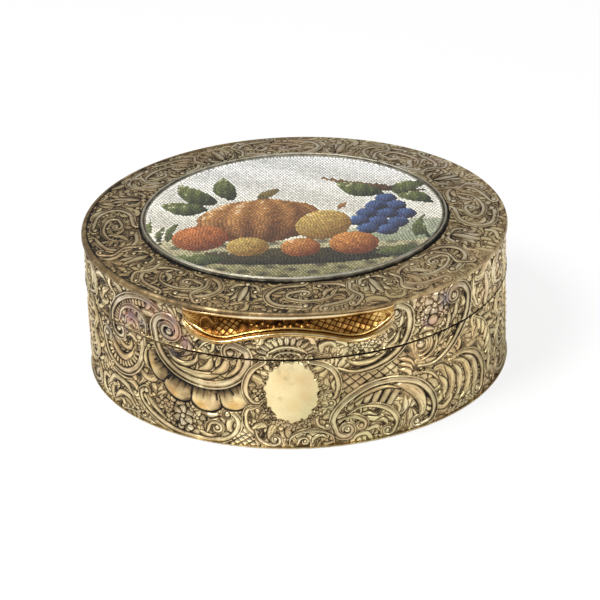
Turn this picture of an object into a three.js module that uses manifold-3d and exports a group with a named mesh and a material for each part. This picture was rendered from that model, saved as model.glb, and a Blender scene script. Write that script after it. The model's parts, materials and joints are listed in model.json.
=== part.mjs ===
// An oval silver-gilt snuff box: a base and a hinged lid of soldered sheet, a mosaic panel in the lid,
// a serpentine thumbpiece at the front and a nine-knuckle hinge that stands off the back.
// Millimetres, +Z up. X runs along the long axis, the thumbpiece faces -Y, and the origin is the centre
// of the underside.
import * as THREE from "three";
import { mergeVertices } from "three/addons/utils/BufferGeometryUtils.js";
import Module from "manifold-3d";

// The oval and the heights of its two halves
const boxLength = 90;
const boxDepth = 77.5;
const baseHeight = 21.45;
const seamGap = 0.2;
const lidHeight = 10.95;

// The base: sheet walls, a plate with an eased foot, and a lining whose rim seats the lid
const wallThickness = 1;
const basePlateThickness = 1;
const footRadius = 0.5;
const liningThickness = 0.6;
const liningRise = 1.6;
const liningClearance = 0.15;

// The lid's top: a rounded edge, a gentle rise and a flat seat round the mosaic
const lidEdgeThickness = 1.1;
const lidEdgeRadius = 0.95;
const lidRise = 0.9;
const lidPlateThickness = 0.9;
const innerPlateThickness = 0.7;
const innerPlateClearance = 0.1;

// The mosaic, its bed and tray, and the frame round it
const mosaicLength = 62.6;
const mosaicDepth = 53;
const frameWidth = 1.2;
const frameHeight = 0.7;
const mosaicSink = 0.35;
const tesseraDepth = 1;
const bedThickness = 0.8;
const mosaicClearance = 0.05;
const trayFloor = 0.6;
const trayWall = 0.5;
const trayClearance = 0.1;

// The thumbpiece. Its lip has the same points on both sides: distance along the wall from its middle,
// projection from the wall, and drop below the lid's edge.
const thumbMiddle = -1.2;
const thumbGap = 0.3;
const thumbRoot = 0.5;
const thumbLipRadius = 0.45;
const thumbLipFrom = 80;
const thumbHeel = 0.7;
const thumbHalfLip = [
  { along: 0, out: 2.4, drop: 2.9 },
  { along: 6.6, out: 2.9, drop: 3.5 },
  { along: 12.6, out: 3.6, drop: 4.8 },
  { along: 17, out: 2.6, drop: 5.0 },
  { along: 21.4, out: 0.8, drop: 4.2 },
];

// The hinge
const knuckleCount = 9;
const knuckleLength = 3.1;
const knuckleGap = 0.1;
const knuckleRadius = 1.3;
const boreRadius = 0.65;
const pinRadius = 0.6;
const plugLength = 0.8;
const plugGap = 0.1;
const cradleGap = 0.08;
const cradleThickness = 0.82;
const bearerWeb = 0.5;
const bearerFoot = 1.2;
const bearerFlankFrom = 235;
const bearerGap = 0.3;
const openingAngle = 100;
const stopPlay = 1;

// Facets
const ovalSteps = 72;
const roundSteps = 24;
const edgeSteps = 5;
const crownSteps = 6;
const thumbSteps = 44;
const lengthSteps = 2000;

// Places that follow from the sizes
const outer = { x: boxLength / 2, y: boxDepth / 2 };
const lidFoot = baseHeight + seamGap;
const lidTop = lidFoot + lidHeight;
const lidWallTop = lidTop - lidEdgeThickness;
const frameSeat = lidTop + lidRise;
const mosaicTop = frameSeat + frameHeight - mosaicSink;
const bedTop = mosaicTop - tesseraDepth;
const trayInside = bedTop - bedThickness;
const trayBottom = trayInside - trayFloor;
const innerPlateTop = Math.min(trayBottom, lidWallTop);
const mosaicOval = { x: mosaicLength / 2, y: mosaicDepth / 2 };
const trayOval = grown(mosaicOval, trayWall);
const openingOval = grown(trayOval, trayClearance);
const frameOval = grown(mosaicOval, frameWidth);
const cradleRadius = knuckleRadius + cradleGap;
const bearerRadius = cradleRadius + cradleThickness;
const hingeLength = knuckleCount * knuckleLength + (knuckleCount - 1) * knuckleGap;
const hingeY = outer.y + bearerWeb + cradleRadius;
const hingeZ = baseHeight + seamGap / 2;

const gilt = { color: 0xb9a06a, metalness: 1, roughness: 0.35 };
const paleGilt = { color: 0xd9bd78, metalness: 1, roughness: 0.28 };
const amberGilt = { color: 0x9c7434, metalness: 1, roughness: 0.35 };
const silver = { color: 0xbdbab2, metalness: 1, roughness: 0.3 };
const steel = { color: 0x8d8a84, metalness: 1, roughness: 0.4 };
const copper = { color: 0x8c5a3c, metalness: 1, roughness: 0.55 };
const cement = { color: 0xb9b2a2, metalness: 0, roughness: 0.9 };
const enamelGlass = { color: 0xb08a5c, metalness: 0, roughness: 0.35 };

const wasm = await Module();
wasm.setup();

function grown(oval, by) {
  return { x: oval.x + by, y: oval.y + by };
}

// One level of an oval shell: the oval drawn in by an inset, at a height.
function level(oval, insetBy, z) {
  return { x: oval.x - insetBy, y: oval.y - insetBy, z };
}

// Cosine and sine at even steps from one angle to another, in degrees.
function arc(from, to, steps) {
  return Array.from({ length: steps + 1 }, (_, step) => {
    const angle = THREE.MathUtils.degToRad(from + ((to - from) * step) / steps);
    return { cos: Math.cos(angle), sin: Math.sin(angle) };
  });
}

function geometryOf(positions, faces) {
  const geometry = new THREE.BufferGeometry();
  geometry.setAttribute("position", new THREE.Float32BufferAttribute(positions, 3));
  geometry.setIndex(faces);
  geometry.computeVertexNormals();
  return geometry;
}

// Bands of facets between rings that have the same number of points, from one ring to the next.
function bands(rings, count, closed) {
  const faces = [];
  const spans = closed ? rings : rings - 1;
  for (let ring = 0; ring < spans; ring++) {
    const low = ring * count;
    const high = ((ring + 1) % rings) * count;
    for (let step = 0; step < count; step++) {
      const next = (step + 1) % count;
      faces.push(low + step, low + next, high + next);
      faces.push(low + step, high + next, high + step);
    }
  }
  return faces;
}

function ovalRings(levels) {
  const positions = [];
  for (const { x, y, z } of levels) {
    const outline = new THREE.EllipseCurve(0, 0, x, y).getPoints(ovalSteps).slice(0, ovalSteps);
    outline.forEach((point) => positions.push(point.x, point.y, z));
  }
  return positions;
}

// A ring-shaped shell, whose levels run up the outside and down the inside.
function ovalRing(levels) {
  return geometryOf(ovalRings(levels), bands(levels.length, ovalSteps, true));
}

// A solid that a flat face closes at its first and its last level.
function ovalDish(levels) {
  const positions = ovalRings(levels);
  const faces = bands(levels.length, ovalSteps, false);
  const bottom = levels.length * ovalSteps;
  const top = bottom + 1;
  const last = (levels.length - 1) * ovalSteps;
  positions.push(0, 0, levels[0].z, 0, 0, levels[levels.length - 1].z);
  for (let step = 0; step < ovalSteps; step++) {
    const next = (step + 1) % ovalSteps;
    faces.push(bottom, next, step);
    faces.push(top, last + step, last + next);
  }
  return geometryOf(positions, faces);
}

function ovalBand(outerInset, innerInset, bottom, top) {
  return ovalRing([
    level(outer, outerInset, bottom),
    level(outer, outerInset, top),
    level(outer, innerInset, top),
    level(outer, innerInset, bottom),
  ]);
}

function ovalPlate(oval, insetBy, bottom, top) {
  return ovalDish([level(oval, insetBy, bottom), level(oval, insetBy, top)]);
}

function basePlate() {
  const foot = arc(-90, 0, edgeSteps).map(({ cos, sin }) =>
    level(outer, footRadius * (1 - cos), footRadius * (1 + sin)),
  );
  return ovalDish([...foot, level(outer, 0, basePlateThickness)]);
}

// The lid's top plate turns over at its edge, and its underside drops to a shoulder on the wall.
function lidTopPlate() {
  const towardsFrame = (share, z) => ({
    x: THREE.MathUtils.lerp(outer.x - lidEdgeRadius, frameOval.x, share),
    y: THREE.MathUtils.lerp(outer.y - lidEdgeRadius, frameOval.y, share),
    z,
  });
  const edge = arc(0, 90, edgeSteps).map(({ cos, sin }) =>
    level(outer, lidEdgeRadius * (1 - cos), lidTop - lidEdgeRadius * (1 - sin)),
  );
  const crown = arc(0, 90, crownSteps)
    .slice(1)
    .map(({ sin }, step) => towardsFrame((step + 1) / crownSteps, lidTop + lidRise * sin));
  const underside = frameSeat - lidPlateThickness;
  return ovalRing([
    level(outer, 0, lidWallTop),
    ...edge,
    ...crown,
    level(openingOval, 0, frameSeat),
    level(openingOval, 0, underside),
    towardsFrame(1, underside),
    level(outer, wallThickness, lidWallTop),
  ]);
}

// The frame is a low rounded moulding that laps the tray's rim and the edge of the top plate.
function mosaicFrame() {
  const crown = arc(0, 180, 2 * edgeSteps).map(({ cos, sin }) =>
    level(frameOval, (frameWidth * (1 - cos)) / 2, frameSeat + (frameHeight * (1 + sin)) / 2),
  );
  return ovalRing([level(frameOval, 0, frameSeat), ...crown, level(mosaicOval, 0, frameSeat)]);
}

function mosaicTray() {
  return ovalDish([
    level(trayOval, 0, trayBottom),
    level(trayOval, 0, frameSeat),
    level(mosaicOval, 0, frameSeat),
    level(mosaicOval, 0, trayInside),
  ]);
}

// One section of the thumbpiece, as distance out from the wall and height: a hollow face sweeps down
// from the lid's edge to a rounded lip, and a short underside runs back to the wall.
function thumbSection(out, drop) {
  const top = lidTop - lidEdgeRadius;
  const lip = lidTop - drop;
  const face = arc(0, 90, 2 * edgeSteps).map(({ cos, sin }) => ({
    out: thumbRoot + (out - thumbRoot) * (1 - cos),
    z: top - (top - lip) * sin,
  }));
  const roundedLip = arc(thumbLipFrom, -90, edgeSteps).map(({ cos, sin }) => ({
    out: out + thumbLipRadius * cos,
    z: lip - thumbLipRadius * (1 - sin),
  }));
  const heel = lip - 2 * thumbLipRadius - thumbHeel;
  return [{ out: thumbGap, z: top }, ...face, ...roundedLip, { out: thumbGap, z: heel }];
}

function thumbLip() {
  const left = thumbHalfLip.slice(1).reverse();
  return new THREE.CatmullRomCurve3([
    ...left.map(({ along, out, drop }) => new THREE.Vector3(-along, out, drop)),
    ...thumbHalfLip.map(({ along, out, drop }) => new THREE.Vector3(along, out, drop)),
  ]);
}

// The sections stand square to the wall, side by side along the front of the oval.
function thumbpiece() {
  const lip = thumbLip();
  const front = new THREE.EllipseCurve(0, 0, outer.x, outer.y, -Math.PI, 0);
  front.arcLengthDivisions = lengthSteps;
  const frontLength = front.getLength();
  const positions = [];
  let corners = 0;
  for (let step = 0; step <= thumbSteps; step++) {
    const { x: along, y: out, z: drop } = lip.getPoint(step / thumbSteps);
    const share = 0.5 + (thumbMiddle + along) / frontLength;
    const foot = front.getPointAt(share);
    const tangent = front.getTangentAt(share);
    const section = thumbSection(out, drop);
    corners = section.length;
    section.forEach((corner) =>
      positions.push(foot.x + tangent.y * corner.out, foot.y - tangent.x * corner.out, corner.z),
    );
  }
  const faces = bands(thumbSteps + 1, corners, false);
  const end = thumbHalfLip[thumbHalfLip.length - 1];
  const cap = THREE.ShapeUtils.triangulateShape(
    thumbSection(end.out, end.drop).map((corner) => new THREE.Vector2(corner.out, corner.z)),
    [],
  );
  const last = thumbSteps * corners;
  cap.forEach(([a, b, c]) => faces.push(a, b, c, last + c, last + b, last + a));
  return geometryOf(positions, faces);
}

function solidOf(geometry) {
  const bare = geometry.clone();
  bare.deleteAttribute("normal");
  bare.deleteAttribute("uv");
  const merged = mergeVertices(bare);
  return new wasm.Manifold(
    new wasm.Mesh({
      numProp: 3,
      vertProperties: merged.getAttribute("position").array,
      triVerts: new Uint32Array(merged.getIndex().array),
    }),
  );
}

// A bearer is a straight strip whose back is cut to the curved wall and whose front cradles the
// knuckles. Its end face is the stop of the lid's swing. The lid's bearer mirrors the base's.
function hingeBearer(up) {
  const stop = (openingAngle + stopPlay) / 2;
  const seam = THREE.MathUtils.radToDeg(Math.asin(seamGap / 2 / cradleRadius));
  const cradle = arc(180 + seam, 360 - stop, 2 * edgeSteps);
  const back = arc(360 - stop, bearerFlankFrom, edgeSteps);
  const depth = cradleRadius + bearerWeb + outer.y / 2;
  const foot = bearerRadius + bearerFoot;
  const section = [
    { out: -depth, z: -seamGap / 2 },
    ...cradle.map(({ cos, sin }) => ({ out: cradleRadius * cos, z: cradleRadius * sin })),
    ...back.map(({ cos, sin }) => ({ out: bearerRadius * cos, z: bearerRadius * sin })),
    { out: -cradleRadius - bearerWeb, z: -foot },
    { out: -depth, z: -foot },
  ];
  const shape = new THREE.Shape(section.map(({ out, z }) => new THREE.Vector2(out, up * -z)));
  const strip = new THREE.ExtrudeGeometry(shape, { depth: hingeLength, bevelEnabled: false });
  strip.translate(0, 0, -hingeLength / 2).rotateX(Math.PI / 2).rotateZ(Math.PI / 2);
  strip.translate(0, hingeY, hingeZ);
  const wall = ovalPlate(grown(outer, bearerGap), 0, 0, frameSeat);
  const cut = solidOf(strip).subtract(solidOf(wall)).getMesh();
  return geometryOf(Array.from(cut.vertProperties), Array.from(cut.triVerts));
}

function knuckle() {
  const half = knuckleLength / 2;
  const profile = [
    new THREE.Vector2(boreRadius, -half),
    new THREE.Vector2(knuckleRadius, -half),
    new THREE.Vector2(knuckleRadius, half),
    new THREE.Vector2(boreRadius, half),
    new THREE.Vector2(boreRadius, -half),
  ];
  return new THREE.LatheGeometry(profile, roundSteps).rotateZ(-Math.PI / 2);
}

function rod(radius, length) {
  return new THREE.CylinderGeometry(radius, radius, length, roundSteps).rotateZ(-Math.PI / 2);
}

function addPiece(group, name, geometry, finish) {
  const mesh = new THREE.Mesh(geometry, new THREE.MeshStandardMaterial(finish));
  mesh.name = name;
  group.add(mesh);
  return mesh;
}

// Knuckles alternate along the pin, and the base holds both ends.
function addKnuckles(base, lid) {
  const pitch = knuckleLength + knuckleGap;
  for (let index = 0; index < knuckleCount; index++) {
    const onBase = index % 2 === 0;
    const name = `${onBase ? "base" : "lid"}_knuckle_${Math.floor(index / 2) + 1}`;
    const mesh = addPiece(onBase ? base : lid, name, knuckle(), gilt);
    mesh.position.set((index - (knuckleCount - 1) / 2) * pitch, hingeY, hingeZ);
  }
}

function addPin(base) {
  const pinLength = hingeLength - 2 * (plugLength + plugGap);
  addPiece(base, "hinge_pin", rod(pinRadius, pinLength), steel).position.set(0, hingeY, hingeZ);
  const middle = (hingeLength - plugLength) / 2;
  for (const [side, x] of [["left", -middle], ["right", middle]]) {
    const plug = addPiece(base, `hinge_plug_${side}`, rod(pinRadius, plugLength), gilt);
    plug.position.set(x, hingeY, hingeZ);
  }
}

const snuffBox = new THREE.Group();
const base = new THREE.Group();
const lid = new THREE.Group();
snuffBox.add(base, lid);

const liningOutside = wallThickness + liningClearance;
const liningInside = liningOutside + liningThickness;
const liningTop = baseHeight + liningRise;
const baseWall = ovalBand(0, wallThickness, basePlateThickness, baseHeight);
const baseLining = ovalBand(liningOutside, liningInside, basePlateThickness, liningTop);
addPiece(base, "base_plate", basePlate(), gilt);
addPiece(base, "base_wall", baseWall, gilt);
addPiece(base, "base_lining", baseLining, paleGilt);
addPiece(base, "base_hinge_bearer", hingeBearer(-1), gilt);

const innerPlateInset = wallThickness + innerPlateClearance;
const innerPlateBottom = innerPlateTop - innerPlateThickness;
const innerPlate = ovalPlate(outer, innerPlateInset, innerPlateBottom, innerPlateTop);
const mosaicBed = ovalPlate(mosaicOval, mosaicClearance, trayInside, bedTop);
const tesserae = ovalPlate(mosaicOval, mosaicClearance, bedTop, mosaicTop);
addPiece(lid, "lid_wall", ovalBand(0, wallThickness, lidFoot, lidWallTop), gilt);
addPiece(lid, "lid_top_plate", lidTopPlate(), gilt);
addPiece(lid, "lid_inner_plate", innerPlate, paleGilt);
addPiece(lid, "lid_hinge_bearer", hingeBearer(1), gilt);
addPiece(lid, "thumbpiece", thumbpiece(), amberGilt);
addPiece(lid, "mosaic_frame", mosaicFrame(), silver);
addPiece(lid, "mosaic_tray", mosaicTray(), copper);
addPiece(lid, "mosaic_bed", mosaicBed, cement);
addPiece(lid, "mosaic_tesserae", tesserae, enamelGlass);

addKnuckles(base, lid);
addPin(base);

export default snuffBox;
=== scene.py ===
"""The oval silver-gilt snuff box with its chased walls, mosaic lid and thumbpiece, in metres."""
import functools
import json
import math

import bmesh
import bpy
import numpy as np
from mathutils import Matrix, Vector
from mathutils.kdtree import KDTree

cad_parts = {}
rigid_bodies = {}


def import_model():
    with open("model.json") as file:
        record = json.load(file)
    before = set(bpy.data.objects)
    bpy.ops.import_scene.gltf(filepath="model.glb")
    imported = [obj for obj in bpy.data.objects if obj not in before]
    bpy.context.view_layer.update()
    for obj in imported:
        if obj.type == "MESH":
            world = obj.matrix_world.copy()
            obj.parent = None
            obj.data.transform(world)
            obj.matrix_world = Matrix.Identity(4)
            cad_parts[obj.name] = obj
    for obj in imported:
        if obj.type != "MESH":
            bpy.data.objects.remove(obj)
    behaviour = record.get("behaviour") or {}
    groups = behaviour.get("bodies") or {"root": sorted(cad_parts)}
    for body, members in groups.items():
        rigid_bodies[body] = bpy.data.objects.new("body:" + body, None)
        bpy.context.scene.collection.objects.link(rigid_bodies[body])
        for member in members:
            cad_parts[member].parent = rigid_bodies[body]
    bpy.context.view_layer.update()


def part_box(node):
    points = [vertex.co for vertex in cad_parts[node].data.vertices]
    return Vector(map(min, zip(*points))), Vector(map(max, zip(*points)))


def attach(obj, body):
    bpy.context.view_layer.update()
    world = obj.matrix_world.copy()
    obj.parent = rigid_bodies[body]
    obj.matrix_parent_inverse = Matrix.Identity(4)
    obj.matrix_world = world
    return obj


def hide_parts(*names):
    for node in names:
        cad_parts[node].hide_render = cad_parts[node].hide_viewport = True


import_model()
MM = 0.001

def node_box(node):
    """Lowest and highest corner of a node, in millimetres."""
    low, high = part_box(node)
    return np.array(low) / MM, np.array(high) / MM


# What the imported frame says, in millimetres
BASE_HIGH = node_box("base_wall")[1]
LID_LOW, LID_HIGH = node_box("lid_wall")
TOP_LOW, TOP_HIGH = node_box("lid_top_plate")
FRAME_LOW, FRAME_HIGH = node_box("mosaic_frame")
MOSAIC_TOP = node_box("mosaic_tesserae")[1][2]
KNUCKLE_LOW, KNUCKLE_HIGH = node_box("base_knuckle_1")
OVAL = (BASE_HIGH[0], BASE_HIGH[1])
FRAME_OVAL = (FRAME_HIGH[0], FRAME_HIGH[1])
SEAM = (BASE_HIGH[2] + LID_LOW[2]) / 2

# What it doesn't: the wall's thickness, the height of the lid's edge and its rounding, and the mosaic's oval
WALL = 1.0
LID_TOP = 32.6
EDGE_RADIUS = 0.95
MOSAIC_OVAL = (31.3, 26.5)

# The depth of the chasing: the ground lies this far under the smooth surface of the solids
WALL_DEPTH = 0.7
TOP_DEPTH = 0.36
THUMB_DEPTH = 0.15

# Where the gilding shows rose and blue tarnish: distance along the wall, height and radius, in millimetres
BLOOMS = (
    (-33.8, 24.8, 2.8), (-38.2, 24.0, 3.6), (-44.5, 18.8, 2.2), (-27.2, 26.2, 3.0), (-24.8, 23.0, 2.6),
    (-26.2, 19.5, 2.0), (-31.2, 28.8, 2.0), (-23.6, 30.4, 3.2), (29.6, 25.2, 2.0), (33.8, 28.4, 2.6),
)

# The chaser's sheets: pixels of this size, in millimetres
PITCH = 0.08


def clamp(value):
    """The value, kept between 0 and 1."""
    return np.clip(value, 0, 1)


def strongest(*marks):
    """The strongest of several marks at each place."""
    return functools.reduce(np.maximum, marks)


def running(steps):
    """The distance so far before each step and after the last."""
    return np.concatenate([[0], np.cumsum(steps)])


def heading(angle):
    """The unit vector at an angle."""
    return np.array([math.cos(angle), math.sin(angle)])


def rotation(turn):
    """The matrix that turns the plane."""
    c, s = math.cos(turn), math.sin(turn)
    return np.array([[c, -s], [s, c]])


def smooth(points, spacing=0.25):
    """A Catmull-Rom curve through the points, in steps of about the spacing."""
    points = np.asarray(points, float)
    if len(points) < 3:
        steps = max(2, int(np.linalg.norm(points[-1] - points[0]) / spacing))
        share = np.linspace(0, 1, steps)[:, None]
        return points[0] * (1 - share) + points[-1] * share
    ends = np.vstack([2 * points[0] - points[1], points, 2 * points[-1] - points[-2]])
    curve = []
    for a, b, c, d in zip(ends, ends[1:], ends[2:], ends[3:]):
        steps = max(2, int(np.linalg.norm(c - b) / spacing))
        t = np.linspace(0, 1, steps, endpoint=False)[:, None]
        curve.append(
            0.5 * (2 * b + (c - a) * t + (2 * a - 5 * b + 4 * c - d) * t**2 + (3 * b - a - 3 * c + d) * t**3)
        )
    return np.vstack([*curve, points[-1:]])


def curl(start, ahead, radius, turns, side):
    """A spiral that goes on from a point in a direction, turning left (side 1) or right (side -1)."""
    centre = start + radius * side * np.array([-ahead[1], ahead[0]])
    first = math.atan2(*(start - centre)[::-1])
    steps = max(8, int(turns * radius * 24))
    share = np.linspace(0, 1, steps)
    angle = first + side * share * turns * 2 * math.pi
    reach = radius * (1 - 0.86 * share**0.85)
    return centre + reach[:, None] * np.stack([np.cos(angle), np.sin(angle)], 1)


def offset(path, distance):
    """The path moved to its left by a distance, which may be a list along it."""
    step = np.gradient(path, axis=0)
    step /= np.hypot(*step.T)[:, None] + 1e-9
    distance = np.interp(
        np.linspace(0, 1, len(path)), np.linspace(0, 1, np.size(distance)), np.ravel(distance)
    )
    return path + distance[:, None] * np.stack([-step[:, 1], step[:, 0]], 1)


def part_of(path, start, end):
    """The path between two shares of it."""
    return path[int(start * (len(path) - 1)) : int(end * (len(path) - 1)) + 1]


def inside_of(outline, x, y):
    """Where a ray to the right crosses a closed outline an odd number of times."""
    odd = np.zeros(np.broadcast_shapes(x.shape, y.shape), bool)
    for (ax, ay), (bx, by) in zip(outline, np.roll(outline, -1, 0)):
        if ay != by:
            odd ^= ((ay > y) != (by > y)) & (x < ax + (y - ay) * (bx - ax) / (by - ay))
    return odd


class Sheet:
    """Flat metal under the chaser's tools: relief from 0 (ground) to 1, tarnish with painted shade and
    highlights from 0 to 1, and hue.

    Hue is below 0 where the gilding is greyer, and above 0 where it is yellower."""

    def __init__(self, low, high, wrap=None, place=None):
        self.low = np.array(low, float)
        self.size = np.ceil((np.array(high) - self.low) / PITCH).astype(int) + 1
        shape = (self.size[1], self.size[0])
        self.relief = np.zeros(shape, np.float32)
        self.tarnish = np.zeros(shape, np.float32)
        self.hue = np.full(shape, 0.5, np.float32)
        self.worked = np.zeros(shape, bool)
        self.bare = np.zeros(shape, bool)
        self.wrap = wrap
        self.place = place
        self.hand = -1 if place else 1

    def turns(self, path):
        """How far to shift a path, so that it shows at both ends of a sheet that closes on itself."""
        if self.wrap and np.abs(path[:, 0]).max() > self.wrap / 2 - 3:
            return (0, -self.wrap, self.wrap)
        return (0,)

    def window(self, low, high):
        """The pixels between two corners: index slices and coordinates."""
        first = np.clip(((np.array(low) - self.low) / PITCH).astype(int), 0, self.size - 1)
        last = np.clip(((np.array(high) - self.low) / PITCH).astype(int) + 2, 1, self.size)
        x = self.low[0] + PITCH * np.arange(first[0], last[0], dtype=np.float32)
        y = self.low[1] + PITCH * np.arange(first[1], last[1], dtype=np.float32)
        return np.s_[first[1] : last[1], first[0] : last[0]], x[None, :], y[:, None]

    def near(self, path, reach):
        """For the pixels round a path: distance to it, place along it, and side of it."""
        spot, x, y = self.window(path.min(0) - reach, path.max(0) + reach)
        shape = np.broadcast_shapes(x.shape, y.shape)
        away = np.full(shape, 1e6, np.float32)
        along = np.zeros(shape, np.float32)
        side = np.ones(shape, np.float32)
        if 0 in shape:
            return spot, away, along, side
        for index in range(len(path) - 1):
            (ax, ay), (bx, by) = path[index], path[index + 1]
            dx, dy = bx - ax, by - ay
            length = dx * dx + dy * dy + 1e-12
            low = (min(ax, bx) - reach, min(ay, by) - reach)
            high = (max(ax, bx) + reach, max(ay, by) + reach)
            inner, px, py = self.window(low, high)
            rows = slice(inner[0].start - spot[0].start, inner[0].stop - spot[0].start)
            cols = slice(inner[1].start - spot[1].start, inner[1].stop - spot[1].start)
            t = clamp(((px - ax) * dx + (py - ay) * dy) / length)
            ex = px - ax - t * dx
            ey = py - ay - t * dy
            distance = ex * ex + ey * ey
            closer = distance < away[rows, cols]
            away[rows, cols] = np.where(closer, distance, away[rows, cols])
            along[rows, cols] = np.where(closer, (index + t) / (len(path) - 1), along[rows, cols])
            side[rows, cols] = np.where(closer, np.sign(dx * ey - dy * ex), side[rows, cols])
        return spot, np.sqrt(away), along, side

    def stroke(self, path, width, rise, form, line, dark, hand, tint, hue):
        """Raises a band along the path, with a dark line cut round it."""
        half = np.atleast_1d(np.asarray(width, float)) / 2
        spot, away, along, side = self.near(path, half.max() + line + PITCH)
        if away.size == 0:
            return
        half = np.interp(along, np.linspace(0, 1, len(half)), half).astype(np.float32)
        across = clamp(away / half)
        inside = away < half
        reach = np.hypot(*np.diff(path, axis=0).T).sum() * along
        profile, lines = FORMS[form](across, side * hand, reach, half)
        groove = clamp(1 - np.abs(away - half) / line) * ~inside
        self.relief[spot] = np.where(inside, rise * profile, self.relief[spot] * (1 - groove))
        rim = clamp((away - half) / line + 1) * inside
        shade = strongest(lines, 0.8 * dark * rim**2, tint)
        self.tarnish[spot] = np.where(inside, shade, np.maximum(self.tarnish[spot], dark * groove))
        self.lay(spot, inside, hue=hue + 0.16 * math.sin(12.9 * path[0, 0] + 78.2 * path[0, 1]))
        self.worked[spot] |= away < half + line

    def inside(self, outline):
        """The pixels inside a closed outline."""
        spot, x, y = self.window(outline.min(0), outline.max(0))
        return spot, inside_of(outline, x, y), x, y

    def lay(self, spot, where, **fields):
        """Gives fields new values at those pixels where something is true."""
        for name, values in fields.items():
            field = getattr(self, name)
            field[spot] = np.where(where, values, field[spot])

    def keep_bare(self, spot, where):
        """Keeps the fillers and the punched ground off these pixels."""
        self.worked[spot] |= where
        self.bare[spot] |= where

    def free(self, x, y, radius):
        """True where no motif lies within a radius of a point."""
        spot, _, _ = self.window((x - radius, y - radius), (x + radius, y + radius))
        patch = self.worked[spot]
        return patch.size > 0 and patch.mean() < 0.1

    def sample(self, field, x, y):
        """A field's values between its pixels."""
        px = np.clip((x - self.low[0]) / PITCH, 0, self.size[0] - 1.001)
        py = np.clip((y - self.low[1]) / PITCH, 0, self.size[1] - 1.001)
        ix, iy = px.astype(int), py.astype(int)
        fx, fy = px - ix, py - iy
        low = field[iy, ix] * (1 - fx) + field[iy, ix + 1] * fx
        high = field[iy + 1, ix] * (1 - fx) + field[iy + 1, ix + 1] * fx
        return low * (1 - fy) + high * fy


def line_at(place, at, half, width=0.1):
    """A thin engraved line that runs along a band."""
    return clamp(1.3 - np.abs(place - at) * half / width)


def ticks_at(reach, spacing, sharp=0.35):
    """Short engraved strokes across a band."""
    return clamp(np.cos(2 * math.pi * reach / spacing) - sharp) / (1 - sharp)


def edge_dirt_and_shade(across):
    """Dirt along the edges of a raised band, and painted shade there that makes the band look round."""
    return 0.8 * across**2.4


def fine_lines(across, reach, half, strength=0.5):
    """Thin engraved lines that follow the edge of a band, stronger in some places than in others."""
    lines = ticks_at((1 - across) * half - 0.06, 0.54, 0.4)
    return strength * lines * (0.75 + 0.25 * np.sin(1.7 * reach)) * (half > 0.3)


# The forms of a raised band. Each takes the place across it (0 in the middle, 1 at the edge), the side, the
# distance along it and its half width, and gives the relief and the dark marks.


def round_form(across, side, reach, half):
    """A plain half-round band."""
    return np.sqrt(1 - across**2), np.maximum(edge_dirt_and_shade(across), fine_lines(across, reach, half, 0.35))


def moulded_form(across, side, reach, half):
    """A broad hollow band with a rim on its left edge, painted darkest beside the rim as shade in its hollow,
    and fine lines along it.
    """
    place = across * side
    hollow = clamp(place + 0.5)
    body = (0.9 - 0.5 * hollow) * (0.3 + 0.7 * np.sqrt(clamp((1 + place) / 0.4)))
    rim = 0.98 * np.sqrt(clamp(1 - ((place - 0.77) / 0.23) ** 2))
    # The hollow term is painted shade, darkest next to the rim.
    marks = [0.9 * line_at(place, 0.52, half, 0.12), 0.42 * hollow**1.5 * (place < 0.5)]
    marks += [edge_dirt_and_shade(clamp(-place)), fine_lines(across, reach, half, 0.6) * (place < 0.5)]
    if half.max() > 0.5:
        marks.append(0.6 * line_at(place, 0.16, half, 0.06))
        marks.append(ticks_at(reach, 0.42) * np.clip(-0.2 - place, 0, 0.45) * 1.3)
    if half.max() > 0.75:
        marks.append(0.5 * line_at(place, -0.16, half, 0.06) * (0.6 + 0.4 * np.sin(1.3 * reach)))
    return np.maximum(body, rim), strongest(*marks)


def leaf_form(across, side, reach, half):
    """A leaf with a dark midrib and one half in shade, with slanting veins where it is wide enough."""
    marks = [0.8 * line_at(across, 0, half, 0.08), edge_dirt_and_shade(across), 0.3 * (side > 0) * (1 - 0.5 * across)]
    if half.max() > 0.45:
        marks.append(0.55 * ticks_at(reach - 0.9 * across * half, 0.56) * (across > 0.25))
    return 0.25 + 0.75 * (1 - across**1.4), strongest(*marks)


def plume_form(across, side, reach, half):
    """A full leaf with a ridge along its left part, and furrows that come and go on the widest ones."""
    place = across * side
    ridge = clamp(np.where(place > 0.45, (1 - place) / 0.55, (place + 1) / 1.45))
    furrows = [fine_lines(across, reach, half, 0.7)]
    if half.max() <= 0.5:
        furrows.append(0.8 * line_at(place, -0.15, half, 0.07))
    else:
        come = 0.5 + 0.5 * np.sin(1.1 * reach + 0.6)
        furrows.append(0.8 * line_at(place, -0.5, half, 0.07))
        furrows.append(come * line_at(place, 0.16, half, 0.07))
        furrows.append(0.45 * line_at(place, 0.66, half, 0.06))
    if half.max() > 0.8:
        furrows.append(0.7 * (1 - come) * line_at(place, -0.2, half, 0.07))
        furrows.append(ticks_at(reach + 0.6 * place, 0.38) * np.clip(-0.3 - place, 0, 0.45) * 1.3)
    if half.max() > 1.1:
        for at, wave in ((-0.74, 0.0), (-0.34, 2.0), (0.0, 4.0), (0.32, 1.0)):
            furrows.append((0.5 + 0.4 * np.sin(0.9 * reach + wave)) * line_at(place, at, half, 0.06))
    furrow = strongest(*furrows)
    # Painted shade: the leaf is made darker away from its ridge.
    shade = strongest(0.75 * furrow, 0.5 * (1 - ridge) ** 1.3, edge_dirt_and_shade(across))
    return (0.15 + 0.85 * ridge**0.8) * (1 - 0.2 * furrow), shade


FORMS = {"round": round_form, "moulded": moulded_form, "leaf": leaf_form, "plume": plume_form}


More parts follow.
